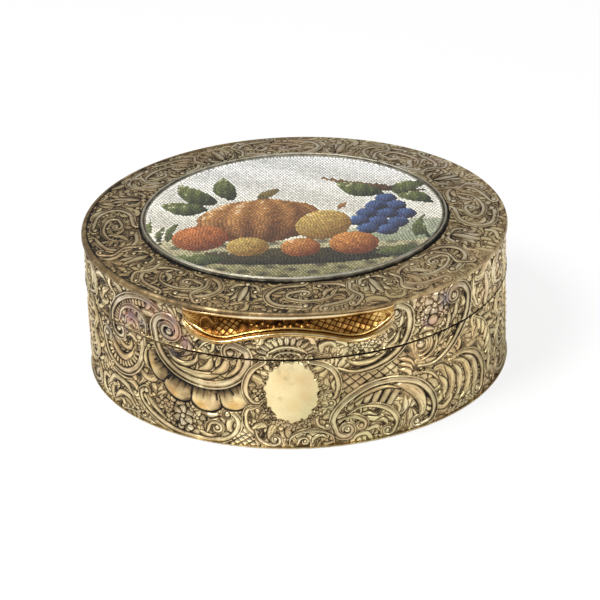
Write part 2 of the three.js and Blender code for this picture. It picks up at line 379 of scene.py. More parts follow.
class Pen:
    """Draws motifs on a sheet from a place, turned, mirrored or resized as one."""

    def __init__(
        self, sheet, x=0, y=0, turn=0, flip=1, size=1, rise=1, line=0.16, dark=0.88, tint=0.0, hue=0.0
    ):
        self.sheet, self.origin, self.flip, self.size = sheet, np.array([x, y]), flip, size
        self.dark, self.tint, self.hue = dark, tint, hue
        self.matrix = rotation(turn) @ np.diag([flip * size, size])
        self.rise, self.line = rise, line

    def local(self, points):
        """Points of the pen on the sheet laid flat, before the sheet bends them."""
        return np.asarray(points, float) @ self.matrix.T + self.origin

    def placed(self, points):
        """Points of the pen as points of the sheet."""
        points = self.local(points)
        return self.sheet.place(points) if self.sheet.place else points

    def stretched(self, stretch, turn=0):
        """The same pen, stretched along its own X and turned."""
        pen = Pen(self.sheet, rise=self.rise, line=self.line, dark=self.dark, tint=self.tint, hue=self.hue)
        pen.matrix = self.matrix @ (rotation(turn) @ np.diag([stretch, 1]))
        pen.origin, pen.flip, pen.size = self.origin, self.flip, self.size
        return pen

    def stroke(self, path, width, rise=0.8, form="round", hand=1, tint=0.0, hue=0.0):
        """A raised band, in the pen's own measure and manner."""
        path = self.placed(path)
        rise, tint, hue = rise * self.rise, max(tint, self.tint), hue + self.hue
        width = np.asarray(width, float) * self.size
        hand = hand * self.flip * self.sheet.hand
        for shift in self.sheet.turns(path):
            moved = path + [shift, 0]
            self.sheet.stroke(moved, width, rise, form, self.line, self.dark, hand, tint, hue)

    def cut(self, path, width=0.16, dark=0.85):
        """An engraved line."""
        path = self.placed(path)
        spot, away, _, _ = self.sheet.near(path, 2 * width)
        if away.size == 0:
            return
        groove = clamp(1.3 - away / width)
        self.sheet.tarnish[spot] = np.maximum(self.sheet.tarnish[spot], dark * groove)
        self.sheet.relief[spot] *= 1 - 0.5 * groove

    def scroll(self, points, width=1.5, start=None, end=None, rise=1.0, form="moulded", hue=0.0):
        """A moulded scroll. Each end may curl up: (radius, turns, side), as seen leaving the scroll."""
        body = smooth(points)
        parts, widths, beads = [body], [width, width], []
        if start:
            spiral = curl(body[0], (body[0] - body[1]) / np.hypot(*(body[0] - body[1])), *start)
            parts.insert(0, spiral[:0:-1])
            beads.append(spiral[-1])
        if end:
            spiral = curl(body[-1], (body[-1] - body[-2]) / np.hypot(*(body[-1] - body[-2])), *end)
            parts.append(spiral[1:])
            beads.append(spiral[-1])
        path = np.vstack(parts)
        lengths = [len(part) for part in parts]
        marks, widths = [0.0], [width * (0.5 if start else 0.35)]
        if start:
            marks.append(lengths[0] / len(path))
            widths.append(width * 0.9)
        marks.append(0.5 * (marks[-1] + 1 - (lengths[-1] / len(path) if end else 0)))
        widths.append(width)
        if end:
            marks.append(1 - lengths[-1] / len(path))
            widths.append(width * 0.9)
        marks.append(1.0)
        widths.append(width * (0.5 if end else 0.35))
        even = np.interp(np.linspace(0, 1, 24), marks, widths)
        self.stroke(path, even, rise, form, hand=-end[2] if end else start[2] if start else 1, hue=hue)
        for bead in beads:
            self.bead(bead, 0.42 * width, rise * 1.05)
        return body

    def bead(self, at, radius, rise=1.0):
        """A round boss."""
        point = np.asarray(at, float)
        self.stroke(np.vstack([point, point + [0.02, 0]]), 2 * radius, rise, "round")

    def leaf(self, points, width=1.2, rise=0.8, tint=0.0):
        """One pointed leaf."""
        widths = [0.3 * width, 0.8 * width, width, 0.75 * width, 0.08]
        self.stroke(smooth(points), widths, rise, "leaf", tint=tint)

    def crescent(self, points, width=1.5, rise=0.9, hue=0.0):
        """A full curved leaf that is pointed at both ends."""
        widths = [0.1, 0.62 * width, 0.95 * width, width, 0.9 * width, 0.6 * width, 0.1]
        self.stroke(smooth(points), widths, rise, "plume", hue=hue)

    def plume(self, points, width=1.2, rise=0.9):
        """A full leaf that ends in a small curled tip."""
        path = smooth(points)
        self.stroke(path, [0.2 * width, 0.8 * width, width, 0.9 * width, 0.5 * width], rise, "plume")
        self.bead(path[-1], 0.27 * width, rise)

    def sprig(self, points, width, lobes, rise=0.8):
        """An acanthus spray: lobes curl off both sides of a stem."""
        stem = smooth(points)
        count = len(stem) - 1
        for step in range(lobes):
            share = 0.08 + 0.8 * step / lobes
            here = stem[int(share * count)]
            ahead = stem[min(count, int(share * count) + 2)] - here
            ahead = ahead / (np.hypot(*ahead) + 1e-9)
            reach = width * (0.55 + 0.45 * math.sin(math.pi * (0.2 + 0.75 * share)))
            for hand in (1, -1):
                across = hand * np.array([-ahead[1], ahead[0]])
                tip = here + ahead * reach * 0.75 + across * reach
                middle = here + ahead * reach * 0.55 + across * reach * 0.45
                self.stroke(
                    smooth([here, middle, tip]), [0.3 * width, 0.6 * width, 0.5 * width, 0.12], rise, "leaf"
                )
        self.leaf(stem[int(0.55 * count) :], width * 0.8, rise)
        self.stroke(stem[: int(0.8 * count) + 1], [0.45, 0.35, 0.2], rise)

    def rosettes(self, *flowers):
        """Small flowers, each given by its place and size."""
        for x, y, size in flowers:
            self.rosette(x, y, 1.15 * size)

    def rosette(self, x, y, radius, petals=5, rise=0.9, hue=0.0):
        """A flower of pointed petals that overlap, round a bead."""
        centre = np.array([x, y])
        for step in range(petals):
            angle = 2 * math.pi * step / petals + x
            out = heading(angle)
            across = np.array([-out[1], out[0]]) * 0.12 * radius
            path = smooth([
                centre + 0.1 * radius * out, centre + 0.6 * radius * out + across,
                centre + 1.05 * radius * out,
            ])
            self.stroke(path, np.array([0.3, 0.8, 0.95, 0.7, 0.2]) * radius, 0.85 * rise, "leaf", hue=hue)
        self.bead((x, y), 0.27 * radius, rise)

    def flutes(self, inner, outer, count, fill, tint):
        """Ribs side by side from one path to another."""
        widths = [fill * np.hypot(*np.diff(path, axis=0).T).sum() / count for path in (inner, outer)]
        for place in (np.arange(count) + 0.5) / count:
            a = inner[int(place * (len(inner) - 1))]
            b = outer[int(place * (len(outer) - 1))]
            self.stroke(smooth([a, b]), widths, 0.6, tint=tint)

    def lattice(self, outline, pitch=1.7, turn=0.78, dark=0.9, tint=0.1, hue=0.0):
        """Crossed lines inside an outline, over meshes that rise a little."""
        outline = self.placed(outline)
        spot, odd, x, y = self.sheet.inside(outline)
        pitch, turn = pitch * self.size, turn * self.flip
        u = (x * math.cos(turn) + y * math.sin(turn)) / pitch
        v = (x * math.cos(turn + 1.4) + y * math.sin(turn + 1.4)) / pitch
        edge = np.minimum(np.abs(u - np.round(u)), np.abs(v - np.round(v))) * pitch
        line = clamp(1.35 - edge / 0.12)
        mesh = (0.36 + 0.25 * edge / pitch) * (1 - line)
        self.sheet.lay(spot, odd, tarnish=np.maximum(line * dark, tint), relief=mesh, hue=hue)
        self.sheet.keep_bare(spot, odd)

    def scallops(self, path, lobes, root, depth):
        """The pleated edge of a shell along the right of a path: it swells into lobes at its outer rim."""
        hand = self.flip * self.sheet.hand
        spot, away, along, side = self.sheet.near(self.placed(path), root + depth + 0.5)
        if away.size == 0:
            return
        phase = lobes * along % 1
        swell = np.sin(math.pi * phase)
        edge = np.interp(along, (0, 0.25, 0.9, 1), (0.62, 1, 1, 0.9)) * (root + depth * swell**0.6)
        outside = (side * hand < 0) & (along > 0.004) & (along < 0.996)
        left = edge - away
        inside = outside & (left > 0)
        pleats = clamp(np.cos(8 * math.pi * phase + 0.6 * away) - 0.1)
        pleats = pleats * clamp(1.5 - away / (0.6 * root))
        plump = np.sqrt(clamp(left / 1.3)) * (0.5 + 0.5 * swell**0.5)
        relief = (0.4 + 0.55 * clamp(away / edge)) * plump * (1 - 0.4 * pleats)
        # Painted shade: each lobe is made darker on its right side and towards its outer edge.
        shade = strongest(
            0.66 * clamp(1.45 - away / (0.6 * root)),
            0.85 * pleats,
            0.9 * clamp(1.15 - left / 0.3),
            0.4 * clamp(2 * phase - 1.1) + 0.25 * clamp(1 - left / 1.2),
            0.85 * clamp(1.3 - swell * 9) * (away > 0.5 * root),
            0.42 * ticks_at(left - 0.1, 0.56, 0.2) * (0.6 + 0.4 * np.sin(9 * phase)),
        )
        groove = outside * clamp(1 - np.abs(left + 0.1) / 0.4) * ~inside
        gold = np.exp(-(((phase - 0.36) / 0.2) ** 2) - ((left - 1.3) / 1.1) ** 2)
        sheet = self.sheet
        sheet.relief[spot] = np.where(inside, self.rise * relief, sheet.relief[spot] * (1 - groove))
        sheet.tarnish[spot] = np.where(
            inside, 0.13 + 0.87 * shade, np.maximum(sheet.tarnish[spot], 0.98 * groove)
        )
        sheet.lay(spot, inside, hue=0.25 + 1.1 * gold - 0.4 * clamp(1 - away / root))
        sheet.worked[spot] |= inside | (groove > 0)

    def stain(self, x, y, radius, hue):
        """A soft patch of another hue."""
        place = self.placed([(x, y)])
        spot, away, _, _ = self.sheet.near(np.vstack([place, place + [0.01, 0]]), radius)
        if away.size:
            self.sheet.hue[spot] += hue * clamp(1.2 - 1.2 * away / radius)

    def plain(self, outline, rise, hue):
        """A smooth raised field, rubbed clean."""
        spot, odd, _, _ = self.sheet.inside(self.placed(outline))
        self.sheet.lay(spot, odd, relief=rise, tarnish=0, hue=hue)
        self.sheet.keep_bare(spot, odd)


# How dark the lines of the small fillers are, their own tarnish, and their hue
FILLER_LOOK = (0.7, 0.16, 0.3)


def small_motif(pen, kind):
    """A filler of about 1 mm radius round the pen's place."""
    if kind == 0:
        pen.leaf([(-0.7, -0.75), (0.1, -0.5), (0.8, -0.75)], 0.6, 0.7)
        pen.plume([(-0.95, -0.5), (-0.6, 0.4), (0.2, 0.65), (0.75, 0.25), (0.5, -0.1)], 0.75, 0.85)
    elif kind == 1:
        for turn in (-0.95, 0.95, 0):
            c, s = math.cos(turn), math.sin(turn)
            pen.plume([(-0.85, 0), (-0.1 * c, 0.5 * s), (0.75 * c, 0.9 * s)], 0.62, 0.75)
    elif kind == 2:
        pen.scroll(
            [(-0.7, -0.7), (-0.75, 0.2), (0.1, 0.55), (0.6, 0.1)], 0.42, (0.3, 0.7, -1), (0.42, 1, -1), 0.8,
            "round",
        )
        pen.leaf([(-0.2, -0.9), (0.3, -0.55), (0.9, -0.6)], 0.6, 0.7)
        pen.leaf([(-0.5, 0.75), (0.2, 0.95), (0.8, 0.7)], 0.42, 0.6)
    else:
        pen.leaf([(-1.0, -0.3), (0, -0.5), (0.9, -0.6)], 0.55, 0.6)
        pen.rosette(0, 0.2, 0.85, 5, 0.8)


def undergrowth(sheet, area, random, spacing, size, line):
    """Covers the sheet with leaves and curls that overlap, for the motifs to lie on."""
    (x0, y0), (x1, y1) = area
    x, y = np.meshgrid(np.arange(x0, x1, spacing), np.arange(y0, y1 + spacing / 2, spacing * 0.86))
    x[1::2] += spacing / 2
    spots = np.stack([x.ravel(), y.ravel()], 1) + random.normal(0, 0.22 * spacing, (x.size, 2))
    random.shuffle(spots)
    for px, py in spots:
        flow = 2.2 * math.sin(0.11 * px + 0.9) + 1.6 * math.sin(0.23 * py - 0.07 * px) + random.normal(0, 0.7)
        scale, rise = size * random.uniform(0.75, 1.2), random.uniform(0.5, 0.85)
        pen = Pen(sheet, px, py, flow, random.choice((-1, 1)), scale, rise, line, *FILLER_LOOK)
        small_motif(pen, random.choice(4, p=(0.46, 0.22, 0.26, 0.06)))


def fill_gaps(sheet, area, random, tries, sizes, line=0.2):
    """Fills what is still bare ground with small leaves and curls."""
    low, high = area
    for size in sizes:
        spots = random.uniform(low, high, (tries, 2))
        turns = random.uniform(0, 2 * math.pi, tries)
        kinds = random.integers(0, 4, tries)
        for (x, y), turn, kind in zip(spots, turns, kinds):
            pen = Pen(sheet, x, y, turn, 1, size, 1, line, *FILLER_LOOK)
            if sheet.free(*pen.placed([(0, 0)])[0], size * 0.95):
                small_motif(pen, kind)


def matt_ground(sheet, random, dark, cell=0.36):
    """Punched dots over all ground that no motif covers."""
    ny, nx = sheet.relief.shape
    step = max(2, int(round(cell / PITCH)))
    shape = (ny // step + 2, nx // step + 2)
    shift_x = random.uniform(0.2, 0.8, shape) * step
    shift_y = random.uniform(0.2, 0.8, shape) * step
    rows, cols = np.arange(ny)[:, None], np.arange(nx)[None, :]
    cy, cx = rows // step, cols // step
    away = np.hypot(cols - cx * step - shift_x[cy, cx], rows - cy * step - shift_y[cy, cx]) * PITCH
    dot = clamp(1.3 - away / 0.13).astype(np.float32)
    ground = ~sheet.worked & ~sheet.bare
    punched = np.maximum(sheet.tarnish, 0.95 - dark * (1 - dot))
    sheet.lay(..., ground, tarnish=punched, relief=0.14 * (1 - dot))


def blurred(field, radius):
    """A field averaged over a square, twice."""
    size = int(round(radius / PITCH))
    for _ in range(2):
        for axis in (0, 1):
            pad = [(size + 1, size) if a == axis else (0, 0) for a in (0, 1)]
            total = np.cumsum(np.pad(field, pad, mode="edge"), axis=axis, dtype=np.float64)
            ahead = np.take(total, range(2 * size + 1, total.shape[axis]), axis)
            behind = np.take(total, range(0, total.shape[axis] - 2 * size - 1), axis)
            field = ((ahead - behind) / (2 * size + 1)).astype(np.float32)
    return field


def age(sheet, wear_and_highlight=0.35, contrast=1.0):
    """Dirt settles beside what stands high, with painted shade there too, and the high places are rubbed
    bright, which also paints highlights on them.
    """
    hollow = blurred(sheet.relief, 0.7) - sheet.relief
    tarnish = sheet.tarnish + 0.45 * clamp(hollow) - wear_and_highlight * clamp(-hollow)
    sheet.tarnish[:] = clamp(0.42 + contrast * (tarnish - 0.42))
    sheet.relief[:] = blurred(sheet.relief, 0.08)
    sheet.hue[:] = blurred(sheet.hue, 0.5)


# The motifs of the walls, in millimetres: along the wall from the front's middle, and up from the table


def cartouche(pen):
    """The bare reserve at the front, in its frame of small scrolls."""
    turn = np.linspace(0, 2 * math.pi, 120, endpoint=False)
    ragged = 1 + 0.03 * np.sin(11 * turn) + 0.03 * np.sin(23 * turn + 1) + 0.02 * np.sin(37 * turn)
    pen.scroll(
        [(-6.4, 20.9), (-8.9, 18.9), (-10.4, 15.9), (-10.5, 13.2), (-9.6, 11.4)], 1.5, (0.8, 0.9, 1),
        (1.5, 1.3, 1),
    )
    pen.scroll(
        [(-8.4, 10.0), (-10.2, 9.5), (-10.9, 7.4), (-10.5, 5.0), (-9.0, 3.4)], 1.3, (1.0, 1.1, -1),
        (0.8, 0.9, 1),
    )
    pen.scroll(
        [(2.9, 21.0), (6.0, 20.0), (8.2, 17.9), (8.9, 14.9), (8.4, 12.4)], 1.5, (0.8, 0.9, -1),
        (1.4, 1.3, -1),
    )
    pen.scroll(
        [(7.2, 10.0), (5.2, 9.6), (4.0, 7.6), (4.2, 5.6), (5.8, 4.5)], 1.15, (0.8, 1.0, 1), (0.9, 0.9, 1)
    )
    pen.scroll([(-8.8, 4.4), (-8.2, 2.2), (-6.4, 1.0), (-4.8, 0.8)], 1.15, end=(1.4, 1.5, 1))
    pen.scroll([(-1.9, 0.8), (-1.5, 2.7), (0.2, 4.0), (2.8, 4.4), (5.4, 4.0), (7.3, 2.7), (7.6, 1.0)], 1.1)
    pen.scroll([(-0.3, 0.8), (0.2, 2.2)], 0.9, end=(1.2, 1.4, -1))
    pen.crescent([(3.0, 0.9), (3.4, 2.4), (5.0, 3.0), (6.4, 2.0)], 1.1)
    pen.plume([(-6.8, 7.2), (-5.2, 8.2), (-3.9, 7.4)], 1.1)
    for step in range(22):
        angle = math.pi * (0.95 + 1.12 * step / 21)
        x, y = -0.9 + 6.2 * math.cos(angle), 13.3 + 7.8 * math.sin(angle)
        if step % 3 == 1:
            pen.rosette(x, y, 1.15)
        else:
            pen.leaf([(x, y), (x + 0.7 * math.cos(angle + 1), y + 0.7 * math.sin(angle + 1))], 0.7, 0.6)
    reserve = np.stack([-0.9 + 5.5 * ragged * np.cos(turn), 13.9 + 7.3 * ragged * np.sin(turn)], 1)
    reserve[:, 1] = np.minimum(reserve[:, 1], 21.5)
    for x, y in reserve[::3]:
        pen.leaf([(x, y), (-0.9 + 1.16 * (x + 0.9), 13.9 + 1.12 * (y - 13.9))], 0.6, 0.55)
    pen.plain(reserve, 0.86, 0.12)
    for x, y, radius in ((-2.8, 18.0, 2.6), (1.2, 17.2, 2.0), (-0.4, 10.6, 2.4), (2.4, 12.8, 1.6)):
        pen.stain(x, y, radius, 0.3)


def shell(pen):
    """The low shell over the seam, with a diapered field, and the pleats and leaves round it."""
    turn = np.radians(np.linspace(0, 180, 60))
    arc = np.stack([np.cos(turn), np.sin(turn)], 1)
    for step in range(13):
        angle = math.radians(8 + 13.7 * step)
        out = heading(angle)
        pen.leaf(
            [out * [4.4, 3.1], out * [5.4, 4.3], out * [7.0, 5.6]], 1.3, 0.7,
            tint=0.25 if step % 2 else 0.0,
        )
    pen.flutes(part_of([4.6, 2.8] * arc, 0.02, 0.16), part_of([8.4, 4.6] * arc, 0.05, 0.2), 4, 0.7, 0.5)
    pen.crescent([(7.0, 0.9), (7.2, 3.0), (9.0, 3.4), (10.2, 1.8)], 2.0, hue=0.3)
    pen.lattice(np.vstack([[3.9, 2.8] * arc, [(-3.9, 0)]]), 0.75, 0.8, 0.95, tint=0.5)
    pen.stroke([2.9, 1.7] * arc, 0.45, 0.7)
    pen.stroke([4.1, 2.9] * arc, 1.0, 0.9, "moulded", hue=0.2)
    for side in (1, -1):
        pen.scroll([(4.2 * side, 0.3), (3.3 * side, 0.6)], 0.6, end=(0.5, 1.0, -side))


def hull_scroll(pen):
    """The big scroll left of the cartouche, with flutes and lobes below it and cream leaves in it."""
    points = [(-30.9, 24.6), (-30.3, 21.2), (-28.6, 18.0), (-25.0, 15.4), (-19.8, 14.1), (-15.0, 14.7)]
    points += [(-11.4, 17.1), (-9.6, 20.4), (-9.9, 23.0), (-12.0, 24.3)]
    body = smooth(points)
    edge = part_of(body, 0.14, 0.72)
    pen.scallops(edge, 4, 4.9, 1.7)
    for share, reach in ((0.1, 0.5), (0.27, 1.0), (0.5, 1.1), (0.73, 1.1), (0.88, 0.6)):
        place = int(share * (len(edge) - 1))
        inner, outer = offset(edge, -2.0)[place], offset(edge, -2.0 - 1.3 * reach)[place]
        pen.cut(smooth([inner, outer]), 0.2 + 0.08 * reach, 0.95)
    pen.crescent([(-27.6, 20.6), (-26.4, 18.7), (-23.8, 17.9), (-21.2, 19.2), (-20.4, 21.4)], 1.5, hue=0.2)
    pen.crescent([(-27.6, 18.6), (-25.0, 16.6), (-21.0, 15.9), (-17.4, 16.5), (-14.6, 18.6)], 2.3, hue=0.25)
    pen.crescent([(-20.6, 17.2), (-18.2, 18.6), (-17.4, 21.0)], 1.9, hue=0.5)
    pen.crescent([(-17.6, 16.9), (-14.9, 18.6), (-13.9, 21.6)], 2.1, hue=0.25)
    pen.crescent([(-23.8, 19.8), (-22.2, 21.6), (-22.6, 24.0)], 1.5, hue=-0.3)
    pen.crescent([(-14.6, 16.4), (-11.9, 18.6), (-11.4, 21.6)], 1.8, hue=0.3)
    pen.scroll([(-20.2, 22.6), (-18.4, 24.6), (-15.8, 25.2)], 1.2, end=(1.5, 1.2, -1))
    pen.scroll(points, 2.05, (3.7, 1.7, -1), (2.1, 1.3, 1), hue=-0.35)


def fan_scroll(pen):
    """The two stacked scrolls at the left: an ear with nested arcs, and a bowl with rungs."""
    lower = [
        (-34.2, 21.0), (-34.2, 18.0), (-35.6, 13.9), (-38.8, 11.0), (-42.6, 10.4), (-46.2, 12.2),
        (-47.9, 16.4),
    ]
    body = smooth(lower)
    pen.crescent([(-44.9, 18.0), (-43.4, 14.9), (-40.2, 13.6), (-37.4, 15.6), (-36.0, 19.2)], 2.6, hue=0.5)
    pen.flutes(offset(part_of(body, 0.2, 0.95), -0.9), offset(part_of(body, 0.2, 0.95), -2.1), 13, 0.8, 0.2)
    pen.crescent([(-42.2, 19.2), (-40.6, 16.8), (-38.2, 17.0), (-37.6, 19.2)], 1.5, hue=0.25)
    pen.scroll(lower, 1.9, (1.0, 0.9, 1), (1.7, 1.3, -1), hue=-0.45)
    ear = [
        (-27.0, 26.6), (-29.6, 29.3), (-33.2, 30.7), (-37.5, 29.9), (-41.4, 27.2), (-43.7, 23.6),
        (-43.7, 20.4),
    ]
    pen.flutes(offset(smooth(ear[2:]), 0.9), offset(smooth(ear[2:]), 1.9), 16, 0.75, 0.25)
    pen.scroll(
        [(-41.4, 22.4), (-40.0, 25.8), (-37.2, 27.5), (-34.4, 27.0), (-33.0, 24.8), (-33.0, 22.2)], 1.5,
        hue=-0.4,
    )
    pen.scroll([(-39.4, 22.6), (-38.6, 24.8), (-36.8, 25.4), (-35.2, 23.8), (-34.8, 21.8)], 1.2, hue=-0.5)
    pen.crescent([(-38.0, 22.6), (-37.0, 23.6), (-36.2, 22.4)], 1.3, hue=-0.6)
    pen.scroll(ear, 1.7, end=(2.6, 1.0, 1), hue=-0.5)
    pen.plume([(-32.2, 13.6), (-33.4, 16.2), (-32.6, 19.6)], 2.0)
    pen.leaf([(-31.6, 22.4), (-31.4, 25.6), (-29.0, 28.6)], 1.5)


def flower_bunch(pen):
    """A bouquet under the lobes, in a long scroll that follows the foot."""
    pen.crescent([(-47.6, 4.0), (-44.4, 7.2), (-40.6, 7.0), (-37.6, 4.6)], 2.0)
    pen.crescent([(-45.2, 1.6), (-42.4, 4.2), (-39.6, 4.2), (-37.4, 2.2)], 1.8, hue=0.3)
    pen.sprig([(-41.6, 0.8), (-38.4, 1.6), (-35.2, 0.9), (-31.6, 0.6)], 1.5, 5)
    pen.scroll([(-38.2, 9.2), (-41.6, 8.6), (-45.0, 9.2)], 1.0, end=(1.1, 1.1, -1))
    pen.crescent([(-34.4, 7.6), (-32.0, 5.0), (-28.6, 2.8)], 1.6, hue=0.4)
    pen.rosettes(
        (-29.8, 6.8, 1.5), (-27.4, 6.6, 1.3), (-22.3, 7.9, 1.4), (-21.4, 5.4, 1.5), (-27.7, 3.6, 1.3)
    )
    for x, y in ((-25.4, 2.4), (-23.2, 2.6), (-27.0, 8.6)):
        pen.bead((x, y), 0.85, 0.9)
    pen.crescent([(-20.4, 7.6), (-18.4, 6.6), (-16.4, 7.2)], 1.5)
    pen.rosette(-24.8, 5.2, 2.4, 6, 1.0, hue=-0.4)
    pen.crescent([(-21.4, 2.6), (-19.6, 1.6), (-17.6, 1.7)], 1.6, hue=0.35)
    pen.scroll([(-19.3, 2.6), (-19.0, 4.2)], 1.4, end=(1.9, 1.35, -1), hue=0.4)
    foot = [
        (-34.4, 8.9), (-35.8, 7.4), (-35.0, 5.0), (-31.4, 2.5), (-27.0, 1.0), (-22.0, 0.5), (-17.6, 0.7),
        (-14.2, 1.9),
    ]
    foot += [(-12.3, 4.4), (-12.3, 6.8), (-13.6, 8.3)]
    pen.scroll(foot, 1.6, (0.7, 0.9, -1), (1.3, 1.2, 1), hue=0.2)


def crook(pen):
    """The two crooked stems right of the thumbpiece, which cross the seam, and the flowers between."""
    pen.crescent([(30.2, 18.4), (31.8, 19.6), (33.6, 22.2)], 1.2, hue=0.3)
    for radius in (1.5, 2.6, 3.7):
        turn = np.radians(np.linspace(-100, 25, 20))
        arc = np.stack([27.0 + 1.15 * radius * np.cos(turn), 20.0 + radius * np.sin(turn)], 1)
        pen.stroke(arc, [0.3, 0.9, 0.9, 0.5], 0.75, "plume", hue=0.2)
    pen.bead((27.0, 20.2), 0.9, 0.9)
    pen.leaf([(34.6, 22.6), (36.4, 24.4), (36.8, 27.2)], 1.6)
    pen.leaf([(33.6, 21.2), (34.6, 24.0), (34.0, 26.6)], 1.4)
    pen.rosettes((27.8, 29.4, 1.5), (33.4, 29.6, 1.5), (27.4, 26.2, 1.3), (33.0, 26.0, 1.2))
    pen.rosette(30.6, 28.3, 2.7, 6, 1.0, hue=-0.3)
    pen.bead((30.2, 25.0), 1.35, 0.95)
    pen.crescent([(26.6, 22.6), (28.4, 23.4), (30.6, 22.6)], 1.7, hue=0.4)
    stem = [
        (26.3, 15.2), (30.4, 14.7), (34.4, 16.6), (37.6, 19.8), (39.9, 23.2), (40.4, 27.0), (39.0, 29.8),
        (37.0, 30.8),
    ]
    pen.scroll(stem, 2.0, end=(2.2, 1.4, 1), hue=-0.3)
    cane = [
        (8.4, 18.9), (11.8, 17.5), (15.8, 17.7), (19.6, 19.0), (22.3, 21.0), (24.1, 23.6), (24.8, 26.6),
        (24.4, 29.2),
    ]
    cane += [(22.9, 30.7)]
    pen.scroll(cane, 1.95, end=(1.9, 1.35, 1), hue=0.15)


def seam_flowers(pen):
    """The scroll and the small flowers between the shell and the crook, above the seam."""
    pen.rosettes(
        (12.4, 23.4, 1.2), (14.7, 23.2, 1.3), (16.9, 23.7, 1.2), (18.7, 25.4, 1.2), (12.0, 25.8, 0.9)
    )
    pen.crescent([(10.4, 20.4), (13.0, 19.2), (16.4, 19.4), (19.2, 20.9)], 1.7, hue=0.25)
    pen.crescent([(13.0, 21.4), (15.6, 20.7), (18.0, 21.7)], 1.1, hue=0.2)
    pen.crescent([(18.8, 21.8), (21.2, 22.8), (22.2, 25.4)], 1.6, hue=0.4)
    pen.leaf([(15.0, 26.6), (17.4, 26.0), (20.6, 27.8)], 1.2)


def shell_scroll(pen):
    """The big scroll right of the cartouche, with gadroons, plumes and a smaller scroll in it."""
    lattice = [
        (9.6, 17.2), (13.0, 16.6), (18.4, 17.9), (23.0, 20.6), (24.2, 17.4), (22.4, 15.0), (16.0, 14.8),
        (12.6, 13.2), (9.9, 11.4),
    ]
    pen.lattice(lattice, 1.6, 0.72, 0.85, tint=0.36, hue=0.1)
    for shift in (0.0, 1.3, 2.6):
        pen.crescent(
            [(21.6, 18.4 - shift), (24.0, 17.4 - shift), (25.6 - 0.4 * shift, 15.4 - shift)], 1.5, hue=0.2
        )
    outer = [
        (7.9, 3.4), (7.3, 6.4), (8.7, 9.3), (11.7, 11.9), (15.9, 13.8), (20.9, 13.8), (26.0, 11.8),
        (29.3, 8.2), (30.5, 4.4), (29.3, 1.5), (26.4, 0.7),
    ]
    band = smooth([(9.8, 8.2), (12.2, 10.6), (16.0, 12.0), (20.2, 11.6), (23.0, 10.0)])
    inner = [(10.4, 7.4), (13.2, 8.9), (16.9, 8.5), (19.9, 6.6), (21.4, 3.6), (20.6, 1.4)]
    pen.flutes(
        offset(part_of(band, 0.15, 0.95), -0.2), offset(part_of(smooth(inner), 0.05, 0.62), 0.9), 6, 0.88,
        0.35,
    )
    pen.crescent([(23.2, 9.4), (23.2, 6.4), (21.6, 4.8)], 1.3)
    pen.crescent([(19.4, 12.3), (23.6, 11.4), (26.6, 8.2), (27.4, 4.6), (25.6, 2.2)], 2.9, hue=0.35)
    pen.crescent([(11.0, 9.6), (14.6, 11.8), (19.0, 12.4), (22.4, 11.0)], 1.3, hue=0.4)
    pen.crescent([(12.4, 6.2), (14.6, 7.0), (17.0, 6.0)], 1.2, hue=0.25)
    pen.crescent([(16.2, 4.6), (18.4, 4.6), (19.2, 2.8)], 1.3, hue=0.3)
    pen.scroll([(9.4, 6.6), (11.8, 6.9), (13.9, 5.8)], 1.4, end=(1.5, 1.3, -1), hue=0.25)
    pen.scroll(inner, 1.4, end=(1.6, 1.35, -1), hue=0.2)
    pen.scroll(outer, 1.75, (2.2, 1.4, 1), (1.5, 1.2, -1), hue=-0.15)


def acanthus_fan(pen):
    """The nested plumes at the right end, and the tall leaf beyond them."""
    pen.sprig([(33.4, 1.0), (36.4, 0.9), (40.4, 1.2)], 1.5, 4)
    pen.crescent([(31.6, 11.0), (33.3, 8.4), (32.6, 5.4)], 1.5, hue=0.4)
    pen.crescent([(33.0, 13.2), (35.0, 10.0), (35.0, 6.6), (33.0, 4.2)], 2.0, hue=0.3)
    pen.crescent([(35.4, 12.6), (37.4, 9.4), (37.2, 5.6), (35.6, 3.4)], 1.7)
    pen.crescent([(34.8, 13.4), (38.4, 11.8), (40.2, 8.4), (39.6, 4.6), (37.0, 2.8)], 2.0, hue=0.25)
    pen.crescent([(37.8, 13.4), (41.6, 10.6), (42.8, 6.4), (41.2, 2.6)], 1.9, hue=-0.1)
    pen.scroll(
        [(35.2, 14.2), (39.2, 13.9), (43.2, 11.4), (45.5, 7.2), (45.2, 3.0)], 1.9, end=(1.9, 1.3, -1),
        hue=0.2,
    )
    pen.scroll([(26.4, 13.9), (29.4, 12.9), (31.4, 10.4)], 1.2, hue=0.1)
    pen.sprig([(42.6, 20.6), (46.4, 17.6), (48.9, 11.6), (47.6, 4.6)], 3.0, 6)
    pen.scroll([(42.0, 30.6), (41.6, 26.4), (42.8, 23.4)], 1.4, end=(1.3, 1.2, 1), hue=0.1)
    pen.leaf([(46.0, 20.6), (47.6, 24.8), (46.6, 29.6)], 2.2)


